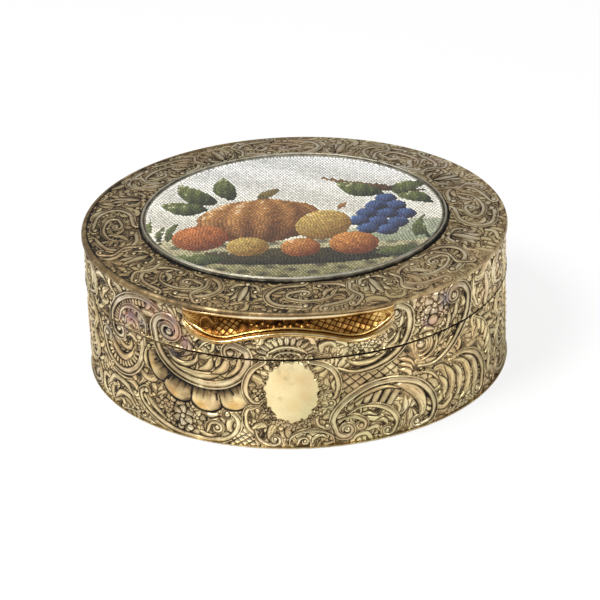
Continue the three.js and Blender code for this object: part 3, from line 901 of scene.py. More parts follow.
def side_column(pen):
    """A tall run of scrolls, for where the wall turns to the side."""
    pen.scroll([(53.2, 31.0), (50.6, 28.4), (51.0, 24.6), (54.0, 23.2)], 1.6, (1.2, 1.2, -1), (1.7, 1.4, 1))
    pen.scroll([(53.4, 21.4), (51.4, 18.4), (53.0, 15.6)], 1.5, (1.3, 1.2, -1), (1.5, 1.3, 1))
    pen.scroll([(53.6, 14.2), (51.6, 11.4), (53.0, 8.2), (56.2, 7.6)], 1.6, (1.2, 1.2, -1), (1.6, 1.3, 1))
    pen.sprig([(57.4, 30.4), (59.0, 24.8), (58.0, 18.4)], 2.4, 6)
    pen.scroll([(52.0, 6.0), (51.4, 3.0), (54.6, 1.2), (58.4, 1.6)], 1.5, (1.0, 1.1, -1), (1.5, 1.3, 1))
    pen.lattice([(57.0, 12.8), (60.0, 13.6), (61.4, 10.2), (59.6, 7.0), (57.2, 9.0)], 1.6, tint=0.2)
    pen.sprig([(61.2, 17.6), (61.8, 11.0), (60.8, 4.4)], 2.2, 6)


def left_side(pen):
    """All that lies left of the cartouche, from back to front."""
    fan_scroll(pen)
    flower_bunch(pen)
    pen.lattice([(-15.6, 0), (-13.0, 2.4), (-11.2, 4.0), (-8.8, 1.8), (-8.6, 0)], 1.1)
    hull_scroll(pen)


def right_side(pen):
    """All that lies right of the cartouche, from back to front."""
    acanthus_fan(pen)
    shell_scroll(pen)
    crook(pen)
    seam_flowers(pen)
    side_column(pen)


def oval_table(oval, start, steps):
    """Angles once round an oval from a start in half turns, the distance along it, and all of its length."""
    angle = np.linspace(start * math.pi, (start + 2) * math.pi, steps + 1)
    x, y = oval[0] * np.cos(angle), oval[1] * np.sin(angle)
    length = running(np.hypot(np.diff(x), np.diff(y)))
    return angle, length, length[-1]


# Distances along the wall count from the front's middle. The side motifs repeat round SIDE_CENTRE.
ANGLES, DISTANCES, PERIMETER = oval_table(OVAL, -1.5, 24000)
HALF = PERIMETER / 2
DISTANCES -= HALF
SIDE_CENTRE = 62


def chase_wall():
    """The whole wall, base and lid, laid flat."""
    random = np.random.default_rng(11)
    sheet = Sheet((-HALF, 0), (HALF, LID_TOP), wrap=PERIMETER)
    undergrowth(sheet, ((-HALF, 0.6), (HALF, LID_TOP)), random, 3.7, 2.75, 0.18)
    front = Pen(sheet)
    left_side(front)
    right_side(front)
    side_column(Pen(sheet, 0, 0, flip=-1))
    right_side(Pen(sheet, -SIDE_CENTRE, 0, flip=-1))
    left_side(Pen(sheet, SIDE_CENTRE, 0, flip=-1))
    shell(Pen(sheet, -1.5, SEAM))
    cartouche(front)
    for side in (1, -1):
        bracket = [(3.0 * side, 2.0), (8.0 * side, 3.4), (11.4 * side, 8.0), (10.0 * side, 13.6)]
        Pen(sheet, -HALF, 0).scroll(bracket, 1.8, (1.6, 1.2, -side), (2.0, 1.3, side))
    shell(Pen(sheet, -HALF, 6.0))
    fill_gaps(sheet, ((-HALF, 0.4), (HALF, LID_TOP - 0.6)), random, 5200, (0.8,))
    matt_ground(sheet, random, 0.42)
    age(sheet, 0.5, 1.3)
    return sheet


# The chasing of the lid's top, drawn along the ring between the mosaic's frame and the edge

RING_WIDTH = (OVAL[0] + OVAL[1] - FRAME_OVAL[0] - FRAME_OVAL[1]) / 2
RING_ANGLES, RING_DISTANCES, RING_LENGTH = oval_table(np.add(OVAL, FRAME_OVAL) / 2, -0.5, 12000)
RIM_WIDTH = 1.3
FIRST_ROUNDEL = 3.6
RING_MOTIFS = 16




def ring_place(points):
    """From distance along the ring and distance out from the frame, to X and Y."""
    angle = np.interp(points[:, 0] % RING_LENGTH, RING_DISTANCES, RING_ANGLES)
    share = points[:, 1] / RING_WIDTH
    x = (FRAME_OVAL[0] + share * (OVAL[0] - FRAME_OVAL[0])) * np.cos(angle)
    y = (FRAME_OVAL[1] + share * (OVAL[1] - FRAME_OVAL[1])) * np.sin(angle)
    return np.stack([x, y], 1)


def roundel(pen):
    """An oval compartment of two C-scrolls round a curling leaf."""
    pen.scroll(
        [(-1.0, -4.2), (-5.2, -3.3), (-7.0, 0.0), (-5.4, 3.2), (-1.2, 4.3)], 1.5, (0.9, 1.2, -1),
        (0.8, 1.1, -1),
    )
    pen.scroll(
        [(1.6, 4.3), (5.6, 3.0), (7.0, -0.2), (5.4, -3.3), (2.2, -4.2)], 1.5, (0.8, 1.1, -1),
        (1.0, 1.2, -1),
    )
    for turn in np.radians((-20, 30, 78, 122, 168, 215, 262)):
        x, y = -0.6 + 3.3 * math.cos(turn), 0.1 + 1.7 * math.sin(turn)
        pen.leaf([(x, y), (x + 0.9 * math.cos(turn - 0.3), y + 0.8 * math.sin(turn - 0.3))], 1.5, 0.65)
    pen.scroll(
        [(4.6, -1.4), (2.9, 1.4), (-0.6, 2.2), (-3.6, 0.9), (-3.6, -1.0), (-1.6, -1.9)], 1.25,
        end=(1.4, 1.3, 1),
    )
    pen.crescent([(4.2, -1.8), (2.6, -0.9), (2.0, 0.8)], 1.5)


def palmette(pen):
    """Leaves that spread from a point towards the edge, between two small curls."""
    for step in (0, 6, 1, 5, 2, 4, 3):
        turn = math.radians(28 + 20.6 * step)
        tip = heading(turn) * (4.6 + 1.5 * math.sin(turn)) + [0, -3.2]
        pen.crescent([(0, -3.4), 0.5 * tip + [0.9 * (step - 3) / 3, -1.5], tip], 1.9, 0.85)
    for side in (1, -1):
        pen.scroll([(0.6 * side, -3.6), (2.6 * side, -3.4), (3.6 * side, -1.8)], 1.2, end=(1.0, 1.2, side))
    pen.bead((0, -3.9), 0.6)


def chase_top():
    """The lid's top, seen from above."""
    random = np.random.default_rng(23)
    sheet = Sheet((-OVAL[0], -OVAL[1]), OVAL, place=ring_place)
    undergrowth(sheet, ((0, 0.3), (RING_LENGTH, RING_WIDTH - 0.4)), random, 3.0, 2.4, 0.16)
    middle = 0.46 * (RING_WIDTH - RIM_WIDTH) + 0.4
    pitch = RING_LENGTH / RING_MOTIFS
    for index in range(RING_MOTIFS):
        place = FIRST_ROUNDEL + index * pitch
        pen = Pen(sheet, place, middle, flip=1 if index % 4 < 2 else -1, dark=0.9, hue=-0.45)
        if index % 2:
            palmette(pen.stretched(0.9))
        else:
            roundel(pen.stretched(1.3, 0.08 * math.sin(index)))
        across = 0.62 * pitch
        pen.scroll(
            [(across - 0.6, 4.6), (across + 0.9, 2.4), (across - 0.5, -0.4), (across + 0.5, -3.4)], 1.2,
            (0.8, 1.1, 1), (0.9, 1.1, 1),
        )
    x = sheet.low[0] + PITCH * np.arange(sheet.size[0])[None, :]
    y = sheet.low[1] + PITCH * np.arange(sheet.size[1])[:, None]
    width = RIM_WIDTH * np.clip(0.45 - 0.8 * x / OVAL[0], 0.2, 1)
    inner = np.hypot(x / (OVAL[0] - width), y / (OVAL[1] - width))
    rim = inner > 1
    matt_ground(sheet, random, 0.6, 0.4)
    out = (inner - 1) * OVAL[0]
    line = clamp(1.4 - np.abs(out - 0.1) / 0.12) * clamp(0.7 - x / 60)
    sheet.lay(..., rim, relief=0.9 - 0.7 * line, tarnish=np.maximum(0.54, 0.85 * line), hue=0.5)
    # Painted shadow: a dark ring round the raised mosaic frame, as the shade it casts on the top.
    frame_shadow = np.hypot(x / (FRAME_OVAL[0] + 0.35), y / (FRAME_OVAL[1] + 0.35)) < 1
    age(sheet, 0.8, 1.5)
    sheet.lay(..., frame_shadow, tarnish=0.9)
    return sheet


# The thumbpiece's middle along the wall, and the height of the sheet for its face
THUMB_MIDDLE = -1.2
THUMB_FACE = 6.0


def chase_thumb():
    """The thumbpiece's hollow face: distance along it, and distance down from the lid's edge."""
    random = np.random.default_rng(5)
    sheet = Sheet((-22, 0), (22, THUMB_FACE))
    pen = Pen(sheet, line=0.16)
    for left, right, pitch, tint in ((-14.4, -8.8, 1.0, 0.15), (4.6, 19.6, 1.1, 0.24)):
        lower = (right - 1.6, 2.4), (right, 4.6), (left + 1.4, 4.6), (left, 3.0)
        pen.lattice([(left, 0.5), (right, 0.5), *lower], pitch, 0.62, 0.95, tint)
    pen.scroll([(20.2, 0.6), (21.2, 1.8), (20.4, 3.4)], 0.7, end=(0.6, 1.1, -1))
    pen.sprig([(-21.6, 1.0), (-19.6, 1.6), (-17.8, 2.0)], 1.1, 4)
    pen.scroll([(-17.4, 3.0), (-17.6, 1.6), (-16.4, 0.9), (-15.2, 1.8)], 0.8, end=(0.9, 1.2, -1))
    for step in range(11):
        x = -7.4 + 1.12 * step
        pen.leaf([(x - 0.5, 3.6), (x, 2.9), (x + 0.5, 2.3)], 0.8, 0.7)
        pen.bead((x + 0.3, 1.45 + 0.25 * math.sin(2.2 * step)), 0.36 + 0.08 * math.sin(3.1 * step), 1.0)
    fill_gaps(sheet, ((-21.5, 0.4), (21.5, 3.9)), random, 500, (0.6, 0.45), 0.12)
    matt_ground(sheet, random, 0.4, 0.32)
    age(sheet)
    return sheet


# Meshes


def quads(columns, rows, closed):
    """The faces of a grid whose rows close on themselves, as its columns may."""
    i = np.arange(columns if closed else columns - 1)[:, None]
    j = np.arange(rows)[None, :]
    i2, j2 = (i + 1) % columns, (j + 1) % rows
    return np.stack(
        np.broadcast_arrays(i * rows + j, i2 * rows + j, i2 * rows + j2, i * rows + j2), -1
    ).reshape(-1, 4)


def mesh_object(name, points, faces, body, nodes, material):
    """An object from points in millimetres and a list of arrays of faces."""
    mesh = bpy.data.meshes.new(name)
    mesh.vertices.add(len(points))
    mesh.vertices.foreach_set("co", (points * MM).astype(np.float32).ravel())
    corners = np.concatenate([np.ravel(group) for group in faces]).astype(np.int32)
    sizes = np.concatenate([np.full(len(group), np.shape(group)[1]) for group in faces])
    mesh.loops.add(len(corners))
    mesh.loops.foreach_set("vertex_index", corners)
    mesh.polygons.add(len(sizes))
    mesh.polygons.foreach_set("loop_start", running(sizes)[:-1].astype(np.int32))
    mesh.update(calc_edges=True)
    made = bpy.data.objects.new(name, mesh)
    bpy.context.scene.collection.objects.link(made)
    mesh.materials.append(material)
    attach(made, body)
    if nodes:
        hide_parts(*nodes)
    return made


def add_field(mesh, name, values):
    """A number for each point, which the materials read."""
    mesh.attributes.new(name, "FLOAT", "POINT").data.foreach_set("value", np.ravel(values).astype(np.float32))


def sweep(name, grid, closed, body, nodes, material, shares=None, soft=None, fields=None):
    """A closed shell swept through a grid of points: columns along it, rows round its section.

    shares gives each row's part of the map, and soft says which rows are shaded smooth."""
    columns, rows = grid.shape[:2]
    faces = [quads(columns, rows, closed)]
    if not closed:
        first = np.arange(rows)
        faces += [first[None, :], (first + (columns - 1) * rows)[None, ::-1]]
    made = mesh_object(name, grid.reshape(-1, 3), faces, body, nodes, material)
    mesh = made.data
    shares = np.ones(rows) if shares is None else np.asarray(shares, float)
    v = running(shares) / shares.sum()
    spans = columns if closed else columns - 1
    u = np.arange(spans + 1) / spans
    i, j = (np.ravel(axis) for axis in np.meshgrid(np.arange(spans), np.arange(rows), indexing="ij"))
    corner_u = np.stack([u[i], u[i + 1], u[i + 1], u[i]], 1)
    corner_v = np.stack([v[j], v[j], v[j + 1], v[j + 1]], 1)
    flat = np.stack([0.002 + 0.996 * corner_u, 0.002 + 0.966 * corner_v], -1).reshape(-1, 2)
    if not closed:
        for start, end in ((0, 0.004), (-1, 0.504)):
            section = grid[start]
            tall = section[:, 2] - section[:, 2].min()
            deep = np.linalg.norm(section[:, :2] - section[0, :2], axis=1)
            cap = np.stack([end + 0.47 * tall / tall.max(), 0.974 + 0.022 * deep / deep.max()], 1)
            flat = np.vstack([flat, cap if start == 0 else cap[::-1]])
    layer = mesh.uv_layers.new(name="OFBake")
    layer.data.foreach_set("uv", flat.astype(np.float32).ravel())
    smooth_rows = np.ones(rows, bool) if soft is None else np.asarray(soft, bool)
    flags = np.concatenate([np.tile(smooth_rows, spans), np.zeros(0 if closed else 2, bool)])
    mesh.polygons.foreach_set("use_smooth", flags)
    for key, values in (fields or {}).items():
        add_field(mesh, key, values)
    return made


# The plain lip at the seam, how far the wall's inner edges are eased, and how far round the front the painted
# shade reaches
LIP_WIDTH = 0.35
INNER_EASE = 0.25
FRONT_REACH = 60


def seam_lip(z, edge):
    """1 at a seam's edge, falling to 0 a little way from it."""
    return clamp(1 - np.abs(z - edge) / LIP_WIDTH)


def wall_places(start, end, mesh_size):
    """Distances along the wall in steps of the mesh, and the oval's angles there, as columns."""
    s = np.linspace(start, end, int(round((end - start) / mesh_size)) + 1)
    s = (s + HALF) % PERIMETER - HALF
    return s[:, None], np.interp(s, DISTANCES, ANGLES)[:, None]


def chased_wall(name, sheet, start, end, low, high, lips, body, nodes, material, mesh_size):
    """Part of the wall between two distances and two heights, with its relief."""
    s, angle = wall_places(start, end, mesh_size)
    z = np.linspace(low, high, int(round((high - low) / mesh_size)) + 1)
    relief, tone, hue = (sheet.sample(
        field, s, z[None, :]
    ) for field in (sheet.relief, sheet.tarnish, sheet.hue))
    bloom = np.zeros(relief.shape)
    for along, up, radius in BLOOMS:
        away = np.hypot(s - along, z[None, :] - up) / radius
        bloom = np.maximum(bloom, clamp(1.4 - away))
    front = np.abs(s) < FRONT_REACH
    # Painted shade: the front of the wall is made darker left of its middle.
    tone = tone + 0.07 * clamp((-s - 10) / 14) * front
    # Painted shadow in the seam: the lip's edge is made near black, less so at the far left, with a paler
    # painted highlight beside it.
    dark = 1 - 0.5 * clamp((-s - 20) / 6) * front
    for lip in lips:
        near = seam_lip(z, lip)[None, :]
        relief = relief * (1 - near) + near * 0.8
        tone = np.where(near > 0.6, dark, tone * (1 - 0.6 * near))
    inset = WALL_DEPTH * (1 - relief)
    inner_z = np.array([high, high, (low + high) / 2, low, low])
    inner_inset = np.array([WALL - INNER_EASE, WALL, WALL, WALL, WALL - INNER_EASE])
    count = len(inner_z)
    inset = np.concatenate([inset, np.broadcast_to(inner_inset, (len(s), count))], 1)
    heights = np.broadcast_to(np.concatenate([z, inner_z]), inset.shape)
    tone = np.concatenate([tone, np.broadcast_to([0.95, 0.5, 0.3, 0.5, 0.95], (len(s), count))], 1)
    hue, bloom = (np.concatenate([field, np.zeros((len(s), count))], 1) for field in (hue, bloom))
    grid = np.stack([(OVAL[0] - inset) * np.cos(angle), (OVAL[1] - inset) * np.sin(angle), heights], -1)
    shares = np.concatenate([np.full(len(z) - 1, mesh_size), [0.3, 0.4, 1, 1, 0.4, 0.3]])
    soft = np.concatenate([np.ones(len(z) - 1), np.zeros(count + 1)])
    warm = np.clip(clamp(1.1 - np.abs(heights - 14) / 26) + hue, 0, 2)
    fields = {"tone": tone, "warm": warm, "bloom": bloom}
    sweep(name, grid, False, body, nodes, material, shares, soft, fields)


# How far the lid's top reaches in under the mosaic's frame, and how thick it is there
SEAT = FRAME_OVAL[0] - 31.9
TOP_SHEET = 0.9


def chased_top(name, sheet, start, end, material, mesh_size):
    """Part of the lid's top: the rounded edge, the crown, and the seat under the frame."""
    s, angle = wall_places(start, end, mesh_size)
    turn = np.linspace(0, math.pi / 2, int(EDGE_RADIUS * math.pi / 2 / mesh_size) + 1)
    edge = np.stack([EDGE_RADIUS * (1 - np.cos(turn)), LID_TOP - EDGE_RADIUS * (1 - np.sin(turn))], 1)
    share = np.linspace(0, 1, int((RING_WIDTH - EDGE_RADIUS) / mesh_size) + 1)[1:]
    rise = TOP_HIGH[2] - LID_TOP
    crown = np.stack([share, LID_TOP + rise * np.sin(share * math.pi / 2)], 1)
    edge_x = OVAL[0] - np.concatenate([[0], edge[:, 0]])
    edge_y = OVAL[1] - np.concatenate([[0], edge[:, 0]])
    crown_x = OVAL[0] - EDGE_RADIUS + share * (FRAME_OVAL[0] - OVAL[0] + EDGE_RADIUS)
    crown_y = OVAL[1] - EDGE_RADIUS + share * (FRAME_OVAL[1] - OVAL[1] + EDGE_RADIUS)
    inside_x = np.array([FRAME_OVAL[0] - SEAT, FRAME_OVAL[0] - SEAT, FRAME_OVAL[0], OVAL[0] - WALL])
    inside_y = np.array([FRAME_OVAL[1] - SEAT, FRAME_OVAL[1] - SEAT, FRAME_OVAL[1], OVAL[1] - WALL])
    low = TOP_HIGH[2] - TOP_SHEET
    inside_z = np.array([TOP_HIGH[2], low, low, TOP_LOW[2]])
    x = np.concatenate([edge_x, crown_x, inside_x])
    y = np.concatenate([edge_y, crown_y, inside_y])
    z = np.concatenate([[TOP_LOW[2]], edge[:, 1], crown[:, 1], inside_z])
    chased = np.concatenate([[0], np.full(len(edge) + len(crown), 1.0), np.zeros(4)])
    chased[1 : len(edge) + 1] = np.linspace(0, 1, len(edge)) ** 2
    flat_x, flat_y = x * np.cos(angle), y * np.sin(angle)
    relief = sheet.sample(sheet.relief, flat_x, flat_y)
    # Painted light: the top's tone is made lighter towards the right and the back.
    lit = 0.1 * np.clip(flat_x / 40, -0.9, 1) + 0.05 * clamp(flat_y / 35)
    tone = clamp(0.12 - lit + sheet.sample(sheet.tarnish, flat_x, flat_y))
    height = np.concatenate([[0], np.linspace(0, 1, len(edge))])
    # Painted highlight: a pale line near the foot of the edge's rounding, strongest at the front's middle.
    highlight_reach = clamp(1.35 - np.abs(s) / 13)
    edge_highlight = np.exp(-(((height - 0.08) / 0.12) ** 2)) * highlight_reach
    plain = clamp(0.25 - 1.1 * flat_x[:, : len(height)] / OVAL[0])
    edge_tone = plain * 0.6 + (1 - plain) * (0.15 + 0.7 * tone[:, : len(height)])
    tone[:, : len(height)] = clamp(edge_tone - 0.7 * edge_highlight)
    tone[:, len(edge) + len(crown) + 1 :] = 0.4
    drop = TOP_DEPTH * (1 - relief) * chased
    grid = np.stack([flat_x, flat_y, z - drop], -1)
    count = len(edge) + len(crown)
    shares = np.concatenate([np.full(count, mesh_size), [0.4, 0.6, 0.4, 0.8, 0.4]])
    soft = np.concatenate([np.ones(count), np.zeros(5)])
    # Painted reflection: the top is made greyer towards the back and the right.
    warm = 1.1 - 0.85 * clamp(0.3 + flat_y / 60) - 0.25 * clamp(flat_x / 40)
    warm = np.clip(warm + 0.9 * sheet.sample(sheet.hue, flat_x, flat_y), 0, 1.5)
    warm[:, : len(height)] = 1.0
    fields = {"tone": tone, "warm": warm}
    sweep(name, grid, False, "lid", ["lid_top_plate"], material, shares, soft, fields)


def weld(made):
    """Joins the points that meet in the middle of a plate or of a rod's end, and drops what lies between."""
    work = bmesh.new()
    work.from_mesh(made.data)
    bmesh.ops.remove_doubles(work, verts=work.verts, dist=0.001 * MM)
    bmesh.ops.delete(work, geom=[edge for edge in work.edges if not edge.link_faces], context="EDGES")
    work.to_mesh(made.data)
    work.free()


def oval_shell(name, levels, body, nodes, material, soft=None):
    """A ring or a plate of ovals; each level is (half length, half depth, height).

    A plate has levels of no size in the middle. The rows in soft are shaded smooth, or else all of them."""
    columns = 360
    angle = np.linspace(-math.pi, math.pi, columns, endpoint=False)[:, None]
    x, y, z = np.array(levels, float).T
    grid = np.stack([x * np.cos(angle), y * np.sin(angle), np.broadcast_to(z, (columns, len(z)))], -1)
    sizes = np.hypot(np.diff(np.append(x, x[0])), np.diff(np.append(z, z[0]))) + 0.15
    rows = np.arange(len(z))
    made = sweep(
        name, grid, True, body, nodes, material, sizes, None if soft is None else np.isin(rows, soft)
    )
    if not x.all():
        weld(made)
    return made


def lathe(name, profile, centre, body, nodes, material):
    """A body turned about an axis along X; the profile is (distance along X, radius)."""
    columns = 48
    angle = np.linspace(0, 2 * math.pi, columns, endpoint=False)[:, None]
    along, radius = np.array(profile, float).T
    along = np.broadcast_to(along, (columns, len(along)))
    grid = np.stack([along, radius * np.cos(angle), radius * np.sin(angle)], -1) + centre
    return sweep(name, grid, True, body, nodes, material)


# The lip at places along the thumbpiece: distance from the middle, reach from the wall, drop from the top
THUMB_LIP = (
    (0, 2.4, 2.9), (6.6, 2.9, 3.5), (12.6, 3.6, 4.8), (17, 2.6, 5.0), (20.6, 1.0, 4.5), (22.0, 0.2, 3.7)
)


def wall_frame(s):
    """The place and the outward direction at distances along the wall."""
    angle = np.interp(s, DISTANCES, ANGLES)
    place = np.stack([OVAL[0] * np.cos(angle), OVAL[1] * np.sin(angle)], -1)
    out = np.stack([OVAL[1] * np.cos(angle), OVAL[0] * np.sin(angle)], -1)
    return place, out / np.linalg.norm(out, axis=-1, keepdims=True)


def make_thumbpiece(material):
    """The amber lip: sections of its hollow face, rolled edge and back, laid along the wall."""
    sheet = chase_thumb()
    half = np.array(THUMB_LIP, float)
    path = smooth(np.vstack([half[:0:-1] * [-1, 1, 1], half]), 0.12)
    top = LID_TOP - EDGE_RADIUS
    turn = np.radians(np.linspace(0, 90, 44))
    sections, tones = [], []
    for along, out, drop in path:
        lip = LID_TOP - drop
        root, radius = 0.5 * min(1, out / 1.2), 0.45 * min(1, 0.35 + out / 1.6)
        face = np.stack([root + (out - root) * (1 - np.cos(turn)), top - (top - lip) * np.sin(turn)], 1)
        fillet = 0.36 * max(0.0, min(1.0, 1.5 - abs(along + 1.2) / 12))
        length = running(np.linalg.norm(np.diff(face, axis=0), axis=1))
        left = length[-1] - length
        normal = np.stack([np.sin(turn + 0.35), np.cos(turn - 0.35)], 1)
        normal /= np.linalg.norm(normal, axis=1)[:, None]
        relief = sheet.sample(sheet.relief, np.full(len(turn), along), length)
        tone = sheet.sample(sheet.tarnish, np.full(len(turn), along), length)
        near_lip = clamp((1.5 - left) / 0.3)
        line = clamp(1.5 - np.abs(left - 0.75) / 0.2)
        relief = relief * (1 - near_lip) + near_lip * (1 - 0.9 * line)
        shade = 0.27 + 0.2 * math.exp(-(((along + 2.5) / 7) ** 2))
        tone = (shade + 0.75 * tone) * (1 - near_lip) + near_lip * np.maximum(0.1, 0.95 * line)
        near_top = clamp(1 - length / 0.3)
        relief = relief * (1 - near_top) + near_top
        tone = tone * (1 - near_top) - 0.3 * clamp((abs(along) - 14.5) / 4)
        face -= normal * (THUMB_DEPTH * (1 - relief))[:, None]
        around = np.radians(np.linspace(80, -90, 12))
        lip_edge = np.stack([out + radius * np.cos(around), lip - radius * (1 - np.sin(around))], 1)
        heel = lip - 2 * radius - 0.7
        inside = [(-0.6, heel), (-0.6, top + 0.03), (root - 0.14, top + 0.03 + fillet)]
        inside += [(root - 0.02, top + 0.02 + fillet), (root, top + 0.01 + 0.9 * fillet)]
        sections.append(np.vstack([face, lip_edge, inside]))
        # Painted light on the lip: a pale highlight near the top of its roll and painted shade darkening to
        # its underside. The fillet's rows are painted pale as a highlight line.
        lip_light_and_shade = np.interp(np.arange(12), (0, 2, 4, 6, 8, 11), (0.2, -0.2, -0.1, 0.25, 0.5, 0.75))
        tones.append(np.concatenate([tone, lip_light_and_shade, [0.7, 0.7, 0.3, -0.35, -0.35]]))
        tones[-1][:2] -= fillet
    sections = np.array(sections)[:, ::-1]
    tones = np.array(tones)[:, ::-1]
    place, outward = wall_frame(THUMB_MIDDLE + path[:, 0])
    flat = place[:, None, :] + outward[:, None, :] * sections[:, :, :1]
    grid = np.concatenate([flat, sections[:, :, 1:]], 2)
    middle = sections[len(path) // 2]
    sizes = np.linalg.norm(np.diff(middle, axis=0, append=middle[:1]), axis=1)
    soft = np.ones(grid.shape[1])
    soft[:2] = 0
    soft[-1] = 0
    fields = {"tone": tones}
    sweep("thumb_lip", grid, False, "lid", ["thumbpiece"], material, sizes + 0.02, soft, fields)


# The mosaic


def ellipse(x, y, rx, ry, turn=0.0, bumps=0.0, lobes=3):
    """The outline of a round fruit, which may be turned and lobed."""
    t = np.linspace(0, 2 * math.pi, 90, endpoint=False)
    reach = 1 + bumps * np.cos(lobes * t)
    px, py = rx * reach * np.cos(t), ry * reach * np.sin(t)
    c, s = math.cos(turn), math.sin(turn)
    return np.stack([x + c * px - s * py, y + s * px + c * py], 1)


def blade(start, end, width, bend=0.0):
    """A pointed leaf from one place to another."""
    start, end = np.array(start, float), np.array(end, float)
    along = end - start
    across = np.array([-along[1], along[0]]) / np.hypot(*along)
    t = np.linspace(0, 1, 26)[:, None]
    spine = start + along * t + across * bend * np.sin(math.pi * t)
    half = width / 2 * np.sin(math.pi * t**0.85) ** 0.8
    return np.vstack([spine + across * half, (spine - across * half)[::-1]])


def picture():
    """The mosaic's shapes from front to back: outline, light colour, dark colour, ribs."""
    green, deep_green = (126, 134, 76), (30, 40, 24)
    orange, rust = (228, 160, 84), (104, 46, 20)
    brown, umber = (204, 148, 84), (84, 44, 20)
    blue, navy = (92, 122, 176), (14, 18, 44)
    shapes = []
    for x, y, r in ((1.5, -14.0, 3.8), (12.5, -12.6, 4.7)):
        shapes.append((ellipse(x, y, r * 1.1, r), orange, rust, 0))
    shapes.append((blade((-14, -18), (-25, -16.5), 4.6, 1.0), green, deep_green, 0))
    shapes.append((blade((17, -17), (26, -14.0), 4.0, -0.7), green, deep_green, 0))
    shapes.append((ellipse(-19.5, -9.2, 5.9, 5.3, 0.2), (222, 138, 76), rust, 0))
    shapes.append((ellipse(-9.5, -13.2, 4.4, 4.0), (214, 184, 104), (120, 84, 34), 0))
    shapes.append((ellipse(6.2, -4.6, 5.2, 7.0, -0.45, 0.08, 2), (222, 190, 110), (122, 86, 36), 0))
    shapes.append((blade((9.4, 1.6), (11.4, 5.2), 1.0, 0.3), brown, umber, 0))
    bunch = [
        (15.6, -6.6), (19.6, -7.4), (13.6, -3.2), (17.6, -3.8), (21.8, -4.2), (15.4, 0.0), (19.6, -0.4),
        (23.6, -0.6),
    ]
    bunch += [(17.4, 3.2), (21.6, 3.0), (19.6, 6.2)]
    for x, y in bunch:
        shapes.append((ellipse(x, y, 2.3, 2.2), blue, navy, 0))
    shapes.append((ellipse(-7.0, -2.2, 13.6, 9.2, 0.08, 0.02, 9), brown, umber, 5))
    shapes.append((blade((-7.5, 6.2), (-3.0, 11.6), 2.6, 0.8), (150, 132, 78), (62, 50, 26), 0))
    leaves = (((19, 8.5), (9, 14.0), 5.6), ((21, 8.5), (28, 13), 4.6), ((22, 8), (29.5, 4.0), 4.2))
    leaves += (
        ((-18, 3), (-28.5, 6.0), 5.4), ((-16.5, 5.2), (-25, 14.5), 5.2), ((-13, 7.0), (-15.5, 17.5), 4.8)
    )
    for start, end, width in leaves:
        shapes.append((blade(start, end, width, 0.9), green, deep_green, 4))
    shapes.append((blade((29, 9.5), (5, 16.5), 1.3, 2.0), (140, 106, 66), (58, 40, 24), 0))
    for x in (-29.0, -27.6, -26.2, 25.4, 27.0, 28.4):
        top = (x + 2.5 * math.sin(5 * x), -2.0 + 2 * math.sin(3 * x))
        shapes.append((blade((x, -11.5), top, 1.2, 1.0), green, deep_green, 0))
    shapes.append((ellipse(-1.0, -17.6, 22.5, 3.4), (84, 76, 48), (18, 16, 12), 0))
    shapes.append((ellipse(25, -7.5, 15, 4.4, 0.12), (186, 190, 166), (142, 150, 122), 0))
    return shapes


def contour_rows(outline, spacing):
    """Points in rows that follow an outline inwards."""
    centre = (outline.min(0) + outline.max(0)) / 2
    half = (outline.max(0) - outline.min(0)).min() / 2
    rows = []
    for depth in np.arange(spacing * 0.5, half, spacing * 0.94):
        ring = centre + (outline - centre) * (1 - depth / half)
        ring = np.vstack([ring, ring[:1]])
        length = running(np.hypot(*np.diff(ring, axis=0).T))
        count = max(1, int(length[-1] / (spacing * 1.08)))
        at = np.linspace(0, length[-1], count, endpoint=False) + depth
        at %= max(length[-1], 1e-6)
        rows.append(np.stack([np.interp(at, length, ring[:, 0]), np.interp(at, length, ring[:, 1])], 1))
    return np.vstack(rows)


class Crowd:
    """Points that keep their distance from each other."""

    def __init__(self):
        self.cell, self.points, self.regions, self.grid = 0.6, [], [], {}

    def add(self, point, gap, region):
        i, j = int(point[0] // self.cell), int(point[1] // self.cell)
        for a in (i - 1, i, i + 1):
            for b in (j - 1, j, j + 1):
                for other in self.grid.get((a, b), ()):
                    if (other[0] - point[0]) ** 2 + (other[1] - point[1]) ** 2 < gap * gap:
                        return
        self.grid.setdefault((i, j), []).append(point)
        self.points.append(point)
        self.regions.append(region)


def clip(polygon, nx, ny, reach):
    """The part of a polygon on the near side of a line."""
    kept = []
    for (ax, ay), (bx, by) in zip(polygon, polygon[1:] + polygon[:1]):
        a, b = nx * ax + ny * ay - reach, nx * bx + ny * by - reach
        if a <= 0:
            kept.append((ax, ay))
        if (a < 0 < b) or (b < 0 < a):
            t = a / (a - b)
            kept.append((ax + t * (bx - ax), ay + t * (by - ay)))
    return kept


# The tesserae: their usual spacing, half the putty line between two, and their height
SPACING = 0.66
PUTTY_LINE = 0.05
STONE_HEIGHT = 0.32


